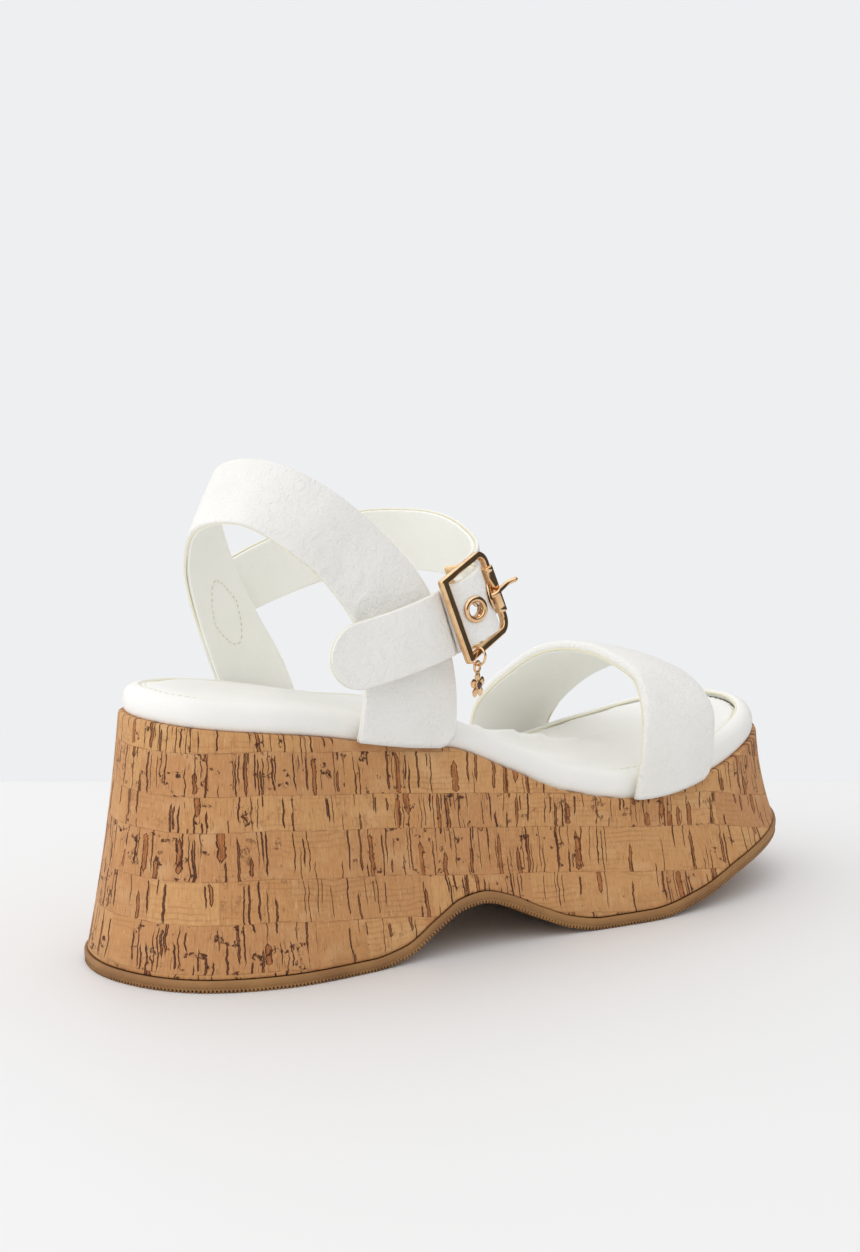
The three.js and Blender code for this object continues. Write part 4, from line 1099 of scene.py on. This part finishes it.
heel_route = route([
    (77.5, -33.4, 58, 0, -1, 0, 1.5, 0.2), (79, -35.6, 86, 0, -1, 0.02, 1.34, 0.2),
    (74.5, -34.2, 109, 0, -0.99, 0.1, 1.16, 0.2), (62, -32, 127, -0.03, -0.99, 0.17, 1.03, 0.2),
    (47, -28.5, 141, -0.15, -0.93, 0.33, 1, 0.2), (33, -18.5, 149.5, -0.5, -0.55, 0.66, 0.98, 0.2),
    (27.5, -2, 146.5, -0.78, 0.1, 0.6, 1, 0.2), (34, 14, 131, -0.62, 0.72, 0.3, 1, 0.2),
    (43.5, 23, 114, -0.4, 0.9, 0.15, 0.96, 0.2), (54, 28.5, 97, -0.22, 0.97, 0.1, 0.96, 0.2),
    (63, 30.6, 81, -0.05, 1, 0.05, 1.02, 0.2), (69.5, 28.8, 62, -0.05, 1, 0, 1.05, 0.2)])

# Buckle axes: along the strap to the front, up the strap, and away from the foot.
buckle_centre = np.array((102.4, -38.5, 111.1))
ahead = unit(np.array((0.875, 0.394, 0.281)))
facing_out = np.array((0.348, -0.916, 0.201))
outward = unit(facing_out - ahead * np.dot(facing_out, ahead))
upward = np.cross(outward, ahead)


def buckle_point(s, h, n):
    return buckle_centre + ahead * s + upward * h + outward * n


BAR_PLAY, FLANGE_GAP, EYELET_CROWN, EYELET_FOOT = 1.0, 0.72, 0.8, 0.4
DEPTH_REAR = -(BAR_RADIUS + BAR_PLAY + STRAP_HALF)
DIVE = math.radians(46)               # the strap slants down past the roller
DEPTH_FRONT = -(ROLLER_RADIUS + 0.4 + CLEARANCE + EYELET_CROWN + FLANGE_GAP + STRAP_HALF) / math.cos(DIVE)
DEPTH_CENTRE = -0.6                   # the strap's middle if it lay flat over the centre bar
STRAP_HUMP = 2.3                      # how far out its middle stands between the bars
PRONG_WIRE = 0.6
PRONG_RING = CENTRE_BAR_RADIUS + CLEARANCE + PRONG_WIRE
BAR_DEPTH = DEPTH_CENTRE - STRAP_HALF - FLANGE_GAP - EYELET_FOOT - CLEARANCE - PRONG_RING - PRONG_WIRE


def buckle_station(s, n):
    return (*buckle_point(s, 0, n), *outward, 1, 0)


ankle_stations = [
    (46, 28.2, 108.5, -0.3, 0.94, 0.1, 1, 0), (60, 32, 112.8, -0.1, 0.98, 0.08, 1, 0),
    (76, 33.4, 117.4, 0.02, 1, 0.05, 1, 0), (91, 32.6, 121, 0.15, 0.98, 0.08, 1, 0),
    (105.5, 28.4, 123.4, 0.5, 0.84, 0.12, 1, 0), (116, 19, 124.2, 0.85, 0.5, 0.16, 1, 0),
    (120.2, 6, 124, 0.98, 0.05, 0.16, 1, 0), (119.8, -8.5, 121.6, 0.95, -0.25, 0.16, 1, 0),
    (116.8, -21, 117.8, 0.82, -0.56, 0.18, 1, 0),
    buckle_station(HALF_LENGTH, DEPTH_FRONT),
    buckle_station(HALF_LENGTH * 0.5, STRAP_HUMP * 0.2),
    buckle_station(HALF_LENGTH * 0.04, STRAP_HUMP),
    buckle_station(-HALF_LENGTH, DEPTH_REAR),
    (80, -42.7, 104.9, 0.12, -0.98, 0.1, 1, 0), (70, -43.2, 102.8, 0.02, -1, 0.06, 1, 0),
    (58, -42.5, 100.5, -0.06, -1, 0.03, 1, 0), (46.2, -41.3, 98.4, -0.1, -1, 0, 1, 0)]
ankle_route = route(ankle_stations)
REAR_SHARE = 12 / 16                  # share of the route at the rear bar


def before_rear_bar(distance):
    """Share of the route at a distance before (or, below zero, past) the rear bar."""
    shares = np.linspace(0, 1, 2001)
    points = np.array([ankle_route(t)["point"] for t in shares])
    walked = np.concatenate([[0], np.cumsum(np.linalg.norm(np.diff(points, axis=0), axis=1))])
    return float(np.interp(np.interp(REAR_SHARE, shares, walked) - distance, walked, shares))


def wrinkles(t, share):
    """Soft folds on the outer side of the heel strap, where it bends to the buckle."""
    here = heel_route(t)["point"]
    strength = math.exp(-((t - 0.27) / 0.09) ** 2) * (0.6 + 0.4 * share)
    fine = noise.noise(Vector((here[0] * 0.16, share * 3.1, here[2] * 0.42)))
    broad = noise.noise(Vector((t * 26, share * 1.7, 4.2)))
    return 0.75 * strength * fine + 0.2 * broad


def side_line(way):
    """The plan's edge on one side of the sole: y at each x."""
    side = np.array(sorted((tuple(p) for p in plan_line if p[1] * way > 0), key=lambda p: p[0]))
    return lambda x: float(np.interp(x, side[:, 0], side[:, 1]))


outer_line, inner_line = side_line(-1), side_line(1)


def hug_footbed(spot):
    """Draws a vamp end in, so that it follows the footbed's curved edge instead of standing off it."""
    line, middle = (outer_line, 183.0) if spot[1] < 0 else (inner_line, 174.0)
    near = ease(1 - (spot[2] - cork_top(spot[0])) / 28)
    return spot + np.array((0, (line(spot[0]) - line(middle)) * near, 0))


def vamp_pinch(t):
    """The vamp strap thins where it is lasted under the footbed."""
    return mix(0.55, 1, ease((min(t, 1 - t) - 0.075) / 0.1))


def build_vamp():
    ends = seated_ends(vamp_route, VAMP_WIDTH, lambda share, end: rounded_corner(share, -1, 0.22, 3.2))

    def puffed(t, share):
        return 0.35 * (1 - share ** 4) + 0.1 * noise.noise(Vector((t * 14, share * 2.2, 1.3)))

    shell = strap("vamp_strap_leather", vamp_route, VAMP_WIDTH, -1.15, VAMP_HALF - 0.25, WHITE, ends=ends,
                  edge=1.3, thickness=vamp_pinch, ripple=puffed, fit=hug_footbed)
    lining = strap("vamp_strap_inside", vamp_route, VAMP_WIDTH, -VAMP_HALF, -0.9, LINING, ends=ends,
                   edge=0.45, trim=0.9, thickness=vamp_pinch, fit=hug_footbed)
    edges = [strap_edge("vamp_edge", vamp_route, VAMP_WIDTH, side, -1.1, ends, 0.42, inset=0.5,
                        thickness=vamp_pinch, fit=hug_footbed) for side in (-1, 1)]
    return shell, lining, joined("vamp_strap_edges", edges)


def strap_edge(name, frames, width, side, depth, ends, radius, inset=0.0, thickness=None, span=(0, 1),
               fit=None):
    """A fine painted line along one edge of a strap."""
    path = []
    for k in range(131):
        share = side * 0.97
        t = mix(ends(share, 0), ends(share, 1), k / 130) if ends else mix(span[0], span[1], k / 130)
        here = frames(t)
        half = here["width"] * width / 2 - inset
        squeeze = thickness(t) if thickness else 1
        spot = here["point"] + here["across"] * side * half + here["outward"] * depth * squeeze
        path.append(fit(spot) if fit else spot)
    return tube(name, path, radius, EDGE, sides=8)


def build_heel_strap():
    def corner(share, end):
        return rounded_corner(share, 1, 0.2, 2.5) if end else rounded_corner(share, -1, 0.34, 6.0)

    ends = seated_ends(heel_route, HEEL_STRAP_WIDTH, corner)
    outer = strap("heel_strap_leather", heel_route, HEEL_STRAP_WIDTH, 0.02, STRAP_HALF, WHITE, ends=ends,
                  edge=0.5, ripple=wrinkles)
    lining = strap("heel_strap_inside", heel_route, HEEL_STRAP_WIDTH, -STRAP_HALF, -0.02, LINING, ends=ends,
                   edge=0.45, trim=0.35)
    edges = [strap_edge("heel_edge", heel_route, HEEL_STRAP_WIDTH, side, 0.0, ends, 0.3, inset=0.22)
             for side in (-1, 1)]
    return outer, lining, joined("heel_strap_edges", edges)


def ankle_half(t):
    """Half width of the ankle strap: it starts in a blunt leaf, sewn to the heel strap."""
    start = clamp01(t / 0.05)
    return ANKLE_STRAP_WIDTH / 2 * mix(0.45, 1, math.sqrt(1 - (1 - start) ** 2))


def tail_half(t):
    """Half width of the free end, round at its tip."""
    left = np.linalg.norm(ankle_route(t)["point"] - ankle_route(1)["point"]) + 0.02
    half = ANKLE_STRAP_WIDTH / 2
    return half if left >= half else math.sqrt(half ** 2 - (half - left) ** 2)


FIRST_HOLE = 0.82 * HALF_LENGTH       # along the strap, from the rear bar
eyelet_frames = [ankle_route(before_rear_bar(FIRST_HOLE + k * HOLE_PITCH)) for k in range(HOLE_COUNT)]


def punch(thing, spots, radius):
    """Cuts round holes through a strap."""
    profile = [(0.001, -6), (radius, -6), (radius, 6), (0.001, 6)]
    tools = [turned("punch", profile, spot["point"], spot["outward"], EDGE, 28) for spot in spots]
    tool = joined("punch_tool", tools)
    cut = thing.modifiers.new("holes", "BOOLEAN")
    cut.operation = "DIFFERENCE"
    cut.solver = "EXACT"
    cut.object = tool
    bake_modifiers(thing)
    bpy.data.objects.remove(tool)
    return thing


def build_ankle_strap():
    soft = lambda t, share: 0.1 * noise.noise(Vector((t * 30, share * 1.5, 9.1)))
    span = (0, REAR_SHARE)
    outer = strap("ankle_strap_leather", ankle_route, ANKLE_STRAP_WIDTH, 0.02, STRAP_HALF, WHITE, span=span,
                  edge=0.5, half_at=ankle_half, ripple=soft, steps=200)
    lining = strap("ankle_strap_inside", ankle_route, ANKLE_STRAP_WIDTH, -STRAP_HALF, -0.02, LINING,
                   span=span, edge=0.45, trim=0.35, half_at=ankle_half, steps=200)
    for layer in (outer, lining):
        punch(layer, eyelet_frames, HOLE_RADIUS + 0.45)
    edges = [strap_edge("ankle_edge", ankle_route, ANKLE_STRAP_WIDTH, side, 0.0, None, 0.28, inset=0.22,
                        span=(0.05, REAR_SHARE)) for side in (-1, 1)]
    return outer, lining, joined("ankle_strap_edges", edges)


def build_tail():
    """The free end of the strap, past the rear bar."""
    start = before_rear_bar(-1.1)
    steps = 90
    outer_parts = []
    for name, low, high, material, edge, trim in (
            ("strap_tail_leather", 0.02, STRAP_HALF, WHITE, 0.5, 0.0),
            ("strap_tail_inside", -STRAP_HALF, -0.02, LINING, 0.45, 0.35)):
        grid, scale = [], []
        for k in range(steps + 1):
            t = mix(start, 1, math.sin(math.pi / 2 * k / steps))
            here = ankle_route(t)
            half = max(tail_half(t) - trim, 0.05)
            sag = 0.12 * math.sin(k / steps * 7)
            loop = section_loop(half, low, high, edge)
            lift = [(here["crown"] + (sag if n > 0 else 0)) * (1 - (y / half) ** 2) for y, n in loop]
            grid.append([here["point"] + here["across"] * y + here["outward"] * (n + up)
                         for (y, n), up in zip(loop, lift)])
            scale.append([(k * 0.0005, y * 0.001) for y, n in loop] + [(k * 0.0005, loop[0][0] * 0.001)])
        outer_parts.append(grid_mesh(name, grid, material, loop=True, lid=True, scale=scale))
    path = []
    for side in (-1, 1):
        line = []
        for k in range(80):
            t = mix(start, 1, math.sin(math.pi / 2 * k / 80))
            here = ankle_route(t)
            line.append(here["point"] + here["across"] * side * (tail_half(t) - 0.22))
        path += line if side < 0 else line[::-1]
    edge_line = tube("strap_tail_edge", path, 0.28, EDGE, sides=8)
    return (*outer_parts, edge_line)


# ------------------------------------------------------------------ buckle and eyelets
def build_eyelet(number, here):
    """A rolled metal eyelet: domed flange outside, barrel, and a flat flange inside."""
    top = STRAP_HALF + 0.12
    foot = -STRAP_HALF - 0.1
    hole, flange = HOLE_RADIUS, FLANGE_RADIUS
    crown = rounded([(hole, top - 0.5), (hole + 0.05, top + 0.45), (hole + 0.5, top + 0.85),
                     (flange - 0.4, top + 0.7), (flange, top + 0.15), (flange - 0.15, top)], 20)
    barrel = [(hole + 0.35, top - 0.05), (hole + 0.35, foot)]
    inside = [(flange - 0.7, foot), (flange - 0.6, foot - 0.25), (hole + 0.2, foot - 0.45),
              (hole, foot - 0.3)]
    profile = crown + barrel + inside
    return turned("eyelet_ring_%d" % number, profile, here["point"], here["outward"], METAL, 40)


def frame_outline(count, reach_rear, reach_side, reach_front, rear_radius, front_radius):
    """Points round a rectangle with round corners, each corner sampled evenly."""
    corners = [(reach_front - front_radius, reach_side - front_radius, front_radius, 90),
               (reach_front - front_radius, front_radius - reach_side, front_radius, 0),
               (rear_radius - reach_rear, rear_radius - reach_side, rear_radius, -90),
               (rear_radius - reach_rear, reach_side - rear_radius, rear_radius, -180)]
    points = []
    for s, h, radius, start in corners:
        for k in range(count + 1):
            angle = math.radians(start - 90 * k / count)
            points.append((s + radius * math.cos(angle), h + radius * math.sin(angle)))
    return points


def build_buckle_frame():
    """Rectangular frame: wide bevelled rear bar, thin front bar with round corners, a centre bar below."""
    arc = 10
    rear_half = REAR_BAR_WIDTH / 2
    outer = frame_outline(arc, HALF_LENGTH + rear_half, HALF_HEIGHT + BAR_RADIUS, HALF_LENGTH + BAR_RADIUS,
                          0.7, 5.0)
    inner = frame_outline(arc, HALF_LENGTH - rear_half, HALF_HEIGHT - BAR_RADIUS, HALF_LENGTH - BAR_RADIUS,
                          0.4, 3.0)
    profile = []
    for w, n in ((-1, 1), (1, 1), (1, -1), (-1, -1)):
        for dw, dn in (((-w * 0.42, 0), (-w * 0.13, -n * 0.13), (0, -n * 0.42)) if w * n > 0
                       else ((0, -n * 0.42), (-w * 0.13, -n * 0.13), (-w * 0.42, 0))):
            profile.append((w + dw, (n + dn) * BAR_RADIUS))
    grid = []
    for (s0, h0), (s1, h1) in zip(inner, outer):
        row = []
        for w, n in profile:
            share = (w + 1) / 2
            row.append(buckle_point(mix(s0, s1, share), mix(h0, h1, share), n))
        grid.append(row)
    loop = grid_mesh("frame_loop", grid, METAL, loop=True, ring=True)
    bars = []
    for side in (-1, 1):
        path = [buckle_point(0, side * HALF_HEIGHT, mix(-0.4, BAR_DEPTH, k / 8)) for k in range(9)]
        bars.append(tube("frame_ear", path, CENTRE_BAR_RADIUS, METAL))
    path = [buckle_point(0, mix(-HALF_HEIGHT, HALF_HEIGHT, k / 12), BAR_DEPTH) for k in range(13)]
    bars.append(tube("frame_bar", path, CENTRE_BAR_RADIUS, METAL))
    return joined("buckle_frame_metal", [loop, *bars])


def build_roller():
    half = ROLLER_LENGTH / 2
    bore = BAR_RADIUS + 0.25
    groove = 0.12
    radius = ROLLER_RADIUS
    profile = [(bore, -half), (radius - 0.3, -half), (radius - 0.08, 0.1 - half), (radius, 0.35 - half),
               (radius, 1.4 - half), (radius - groove, 1.6 - half), (radius, 1.8 - half), (radius, 0)]
    profile += [(r, -h) for r, h in reversed(profile[:-1])]
    return turned("buckle_roller_metal", profile, buckle_point(HALF_LENGTH, 0, 0), upward, METAL, 40)


def build_prong():
    """Ring round the centre bar, and a pin up through a hole, over the roller, to a turned-up tip."""
    hole = eyelet_frames[1]
    rest = ROLLER_RADIUS + CLEARANCE + PRONG_RADIUS

    def along_hole(distance):
        spot = hole["point"] + hole["outward"] * distance - buckle_centre
        return float(np.dot(spot, ahead)), float(np.dot(spot, outward))

    above_s, above_n = along_hole(3)
    points = [(PRONG_RING, BAR_DEPTH), (PRONG_RING + 0.8, BAR_DEPTH + 1.3), along_hole(-2.6), along_hole(0),
              along_hole(1.8), (mix(above_s, HALF_LENGTH, 0.25), above_n + 0.15),
              (mix(above_s, HALF_LENGTH, 0.65), above_n - 0.35)]
    tip = [(0, 0), (2.3, -0.1), (4.2, 0.1), (5.5, 0.8), (6.4, 1.6)]     # past the front bar, over the roller
    points += [(HALF_LENGTH + s, rest + n) for s, n in tip]
    curve = catmull([(s, 0, n) for s, n in points])
    pin = tube("prong_pin", [buckle_point(*curve(k / 60)) for k in range(61)], PRONG_RADIUS, METAL, 18)
    ring = [buckle_point(PRONG_RING * c, 0, BAR_DEPTH + PRONG_RING * s) for c, s in circle(32)]
    eye = tube("prong_eye", ring, PRONG_WIRE, METAL, 14, closed=True)
    return joined("buckle_prong_metal", [pin, eye])


# ------------------------------------------------------------------ charm
charm_s = -0.61 * HALF_LENGTH
bar_point = buckle_point(charm_s, -HALF_HEIGHT, 0)
bar_way = unit(np.array((ahead[0], ahead[1], 0)))
face_way = np.array((bar_way[1], -bar_way[0], 0))
ring_centre = bar_point - np.array((0, 0, RING_RADIUS - RING_WIRE - BAR_RADIUS - CLEARANCE))
bail_centre = ring_centre - np.array((0, 0, RING_RADIUS + BAIL_RADIUS - BAIL_WIRE - RING_WIRE - CLEARANCE))
flower_centre = bail_centre - np.array((0, 0, BAIL_RADIUS + FLOWER_RADIUS - 0.2))


def hoop(name, centre, normal, radius, wire, sides=14):
    side = unit(np.cross((0, 0, 1), normal))
    path = [centre + radius * (side * c + np.array((0, 0, s))) for c, s in circle(48)]
    return tube(name, path, wire, METAL, sides, closed=True)


def build_flower():
    """Five cupped petals round a collar, on a small bail."""
    side = unit(np.cross((0, 0, 1), face_way))
    up = np.array((0, 0, 1.0))
    parts = [hoop("bail", bail_centre, face_way, BAIL_RADIUS, BAIL_WIRE)]
    neck = [bail_centre - up * mix(BAIL_RADIUS, BAIL_RADIUS + 1.2, k / 4) for k in range(5)]
    parts.append(tube("bail_neck", neck, 0.5, METAL, 12))
    rings, spokes = 7, 24
    for petal in range(5):
        angle = 2 * math.pi * petal / 5 + math.pi / 2
        direction = side * math.cos(angle) + up * math.sin(angle)
        tangent = -side * math.sin(angle) + up * math.cos(angle)
        centre = flower_centre + direction * 2.45
        grid = []
        for i in range(-rings, rings + 1):
            lift = i / rings
            ring = math.sqrt(max(0.0, 1 - lift * lift))
            loop = []
            for c, s in circle(spokes):
                x, y = ring * c, ring * s
                depth = 0.5 * lift + 0.28 * (x * x + y * y) - 0.12
                spread = tangent * (y * 1.45 * (1 + 0.15 * x))
                loop.append(centre + direction * (x * 1.8) + spread + face_way * depth)
            grid.append(loop)
        parts.append(grid_mesh("petal", grid[1:-1], METAL, loop=True, lid=True))
    collar = [(0.9, 0.1), (1.5, 0.25), (1.62, 0.62), (1.42, 0.85), (1.2, 0.75), (0.9, 0.5)]
    parts.append(turned("collar", collar, flower_centre, face_way, METAL, 32))
    back = [(0.01, -0.75), (1.0, -0.65), (1.3, -0.3), (1.3, 0.3), (0.01, 0.45)]
    parts.append(turned("flower_back", back, flower_centre, face_way, METAL, 32))
    return joined("flower_metal", parts)


def build_stone():
    """A small faceted stone."""
    profile = [(0.01, 1.55), (0.55, 1.5), (1.0, 1.2), (1.22, 0.85), (1.1, 0.5), (0.01, 0.5)]
    gem = turned("flower_gem", profile, flower_centre, face_way, STONE, 8)
    gem.data.shade_flat()
    return gem


# ------------------------------------------------------------------ stitches on the straps
def on_strap(frames, t, y, depth):
    here = frames(t)
    return here["point"] + here["across"] * y + here["outward"] * (depth + here["crown"] * 0.5)


def build_leaf_stitches():
    """The leaf-shaped seam that holds the ankle strap, seen inside the heel strap and outside."""
    inside, outside = [], []
    for c, s in circle(72):
        leaf_y = 5.8 * s * (1 - 0.3 * abs(c))
        inside.append(on_strap(heel_route, 0.775 + 0.06 * c, leaf_y, -STRAP_HALF - 0.12))
        outside.append(on_strap(ankle_route, 0.036 + 0.026 * c, 7.2 * s, STRAP_HALF + 0.03))
    sizes = {"Spacing": 0.0022, "Length": 0.0015, "Radius": 0.0002}
    rows = [along_path("leaf_inside", stitch_tree, inside, THREAD, closed=True, **sizes),
            along_path("leaf_outside", stitch_tree, outside, THREAD, closed=True, **sizes)]
    return joined("leaf_stitches", rows)


def build_tab_stitches():
    """Two short rows where the buckle's tab is sewn to the heel strap."""
    rows = []
    for side in (-1, 1):
        path = [buckle_point(mix(-17, -26, k / 8), side * 6.6, mix(-5.3, -8.2, k / 8)) for k in range(9)]
        rows.append(along_path("tab_row", stitch_tree, path, THREAD,
                               Spacing=0.0024, Length=0.0017, Radius=0.0002))
    return joined("tab_stitches", rows)


# ------------------------------------------------------------------ put the sandal together
def place(piece, body, slot, *nodes):
    """Rides a piece on its body and hides the CAD nodes it stands for; slot is not used."""
    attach(piece, body)
    if nodes:
        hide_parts(*nodes)
    return piece


place(build_outsole(), "shoe", "tan_rubber", "outsole")
place(build_cork(), "shoe", "cork", "cork_wrap")
place(build_rim(), "shoe", "white_leather", "footbed_rim")
cushion = place(build_cushion(), "shoe", "white_leather", "sock_cover", "footbed_foam")
place(build_seam_cord(), "shoe", "ivory_lining")
place(build_footbed_stitches(cushion), "shoe", "ivory_lining")

vamp, vamp_lining, vamp_edges = build_vamp()
place(vamp, "shoe", "white_leather", "vamp_strap_outer", "vamp_strap_padding")
place(vamp_lining, "shoe", "ivory_lining", "vamp_strap_lining")
place(vamp_edges, "shoe", "ivory_lining")
heel, heel_lining, heel_edges = build_heel_strap()
place(heel, "shoe", "white_leather", "heel_strap_outer")
place(heel_lining, "shoe", "ivory_lining", "heel_strap_lining")
place(heel_edges, "shoe", "ivory_lining")
ankle, ankle_lining, ankle_edges = build_ankle_strap()
place(ankle, "shoe", "white_leather", "ankle_strap_outer")
place(ankle_lining, "shoe", "ivory_lining", "ankle_strap_lining")
place(ankle_edges, "shoe", "ivory_lining")
place(build_leaf_stitches(), "shoe", "ivory_lining")
place(build_tab_stitches(), "shoe", "ivory_lining")
tail, tail_lining, tail_edge = build_tail()
place(tail, "strap_tail", "white_leather", "strap_tail_outer")
place(tail_lining, "strap_tail", "ivory_lining", "strap_tail_lining")
place(tail_edge, "strap_tail", "ivory_lining")

for index, spot in enumerate(eyelet_frames, 1):
    place(build_eyelet(index, spot), "shoe", "rose_gold", "eyelet_%d" % index)
place(build_buckle_frame(), "buckle", "rose_gold", "buckle_frame")
place(build_roller(), "roller", "rose_gold", "buckle_roller")
place(build_prong(), "prong", "rose_gold", "buckle_prong")
charm_ring = hoop("charm_ring_metal", ring_centre, bar_way, RING_RADIUS, RING_WIRE - 0.06)
place(charm_ring, "ring", "rose_gold", "charm_ring")
place(build_flower(), "charm", "rose_gold", "flower_charm")
place(build_stone(), "charm", "dark_stone", "flower_stone")


# ------------------------------------------------------------------ studio
CAMERA_TURN = -35.17                # degrees round the vertical, as the table is turned


def build_stage():
    """A pale table, its far edge rolled down behind the sandal."""
    material, kit, shader = new_material("studio_floor", Roughness=0.6)
    cloud = kit.noise(position(kit), 2.0, 2.0)
    kit.put(kit.blend(cloud, linear("ececec"), linear("eaeae9")), shader.inputs["Base Color"])
    turn = Matrix.Rotation(math.radians(CAMERA_TURN), 4, "Z")
    back, front, side, roll = 0.19, -3.0, 4.0, 0.06
    rows = [(front, 0.0), (-0.6, 0.0), (back, 0.0)]
    rows += [(back + roll * math.sin(a), -roll * (1 - math.cos(a))) for a in np.linspace(0.1, 1.5, 12)]
    points = [turn @ Vector((x, y, z)) for y, z in rows for x in (-side, side)]
    faces = [(2 * k, 2 * k + 1, 2 * k + 3, 2 * k + 2) for k in range(len(rows) - 1)]
    mesh = bpy.data.meshes.new("studio_table")
    mesh.from_pydata(points, [], faces)
    mesh.materials.append(material)
    mesh.shade_smooth()
    table = bpy.data.objects.new("studio_table", mesh)
    bpy.context.scene.collection.objects.link(table)


def add_light(name, place, target, size, power, colour=(1, 1, 1)):
    lamp = bpy.data.lights.new(name, "AREA")
    lamp.shape = "RECTANGLE"
    lamp.size, lamp.size_y = size
    lamp.energy = power
    lamp.color = colour
    thing = bpy.data.objects.new(name, lamp)
    thing.location = place
    thing.rotation_euler = (Vector(target) - Vector(place)).to_track_quat("-Z", "Y").to_euler()
    bpy.context.scene.collection.objects.link(thing)


def build_world():
    """A pale dome, dimmer in front. Metal mirrors it bright above and behind on the left, dark elsewhere."""
    world = bpy.data.worlds.new("studio_air")
    world.use_nodes = True
    kit = Nodes(world.node_tree)
    look = kit.new("ShaderNodeTexCoord").outputs["Generated"]

    def toward(x, y, z):
        way = kit.new("ShaderNodeVectorMath", operation="DOT_PRODUCT")
        kit.put(look, way.inputs[0])
        way.inputs[1].default_value = (x, y, z)
        return way.outputs["Value"]

    glow = kit.step(toward(-0.5, 0.7, 0.5), -0.85, 0.25)
    air = kit.blend(glow, (0.52, 0.52, 0.525, 1), (1.13, 1.13, 1.14, 1))
    bright_side = kit.step(toward(-0.55, 0.25, 0.75), 0.0, 0.35)
    mirrored = kit.blend(bright_side, (0.08, 0.08, 0.08, 1), (1.3, 1.3, 1.3, 1))
    ray = kit.new("ShaderNodeLightPath").outputs
    air = kit.blend(ray["Is Glossy Ray"], air, mirrored)
    seen = kit.blend(ray["Is Camera Ray"], air, linear("eeeff1"))
    kit.put(seen, world.node_tree.nodes["Background"].inputs["Color"])
    bpy.context.scene.world = world


def build_lights():
    build_world()
    add_light("top_left", (-0.9, 0.5, 1.6), (0, 0, 0.05), (1.8, 1.8), 0.8)
    add_light("side_fill", (-1.6, -0.3, 1.0), (0, 0, 0.06), (1.2, 1.2), 1.4)


def build_camera():
    camera = bpy.data.cameras.new("camera")
    camera.sensor_fit = "HORIZONTAL"
    camera.sensor_width = 36
    camera.lens = 125.5
    camera.clip_start = 0.05
    thing = bpy.data.objects.new("camera", camera)
    thing.location = (-0.56835, -0.79048, 0.2655)
    thing.rotation_euler = (math.radians(80.18), 0, math.radians(-35.17))
    bpy.context.scene.collection.objects.link(thing)
    bpy.context.scene.camera = thing


build_stage()
build_lights()
build_camera()
bpy.context.scene.view_settings.view_transform = "Standard"
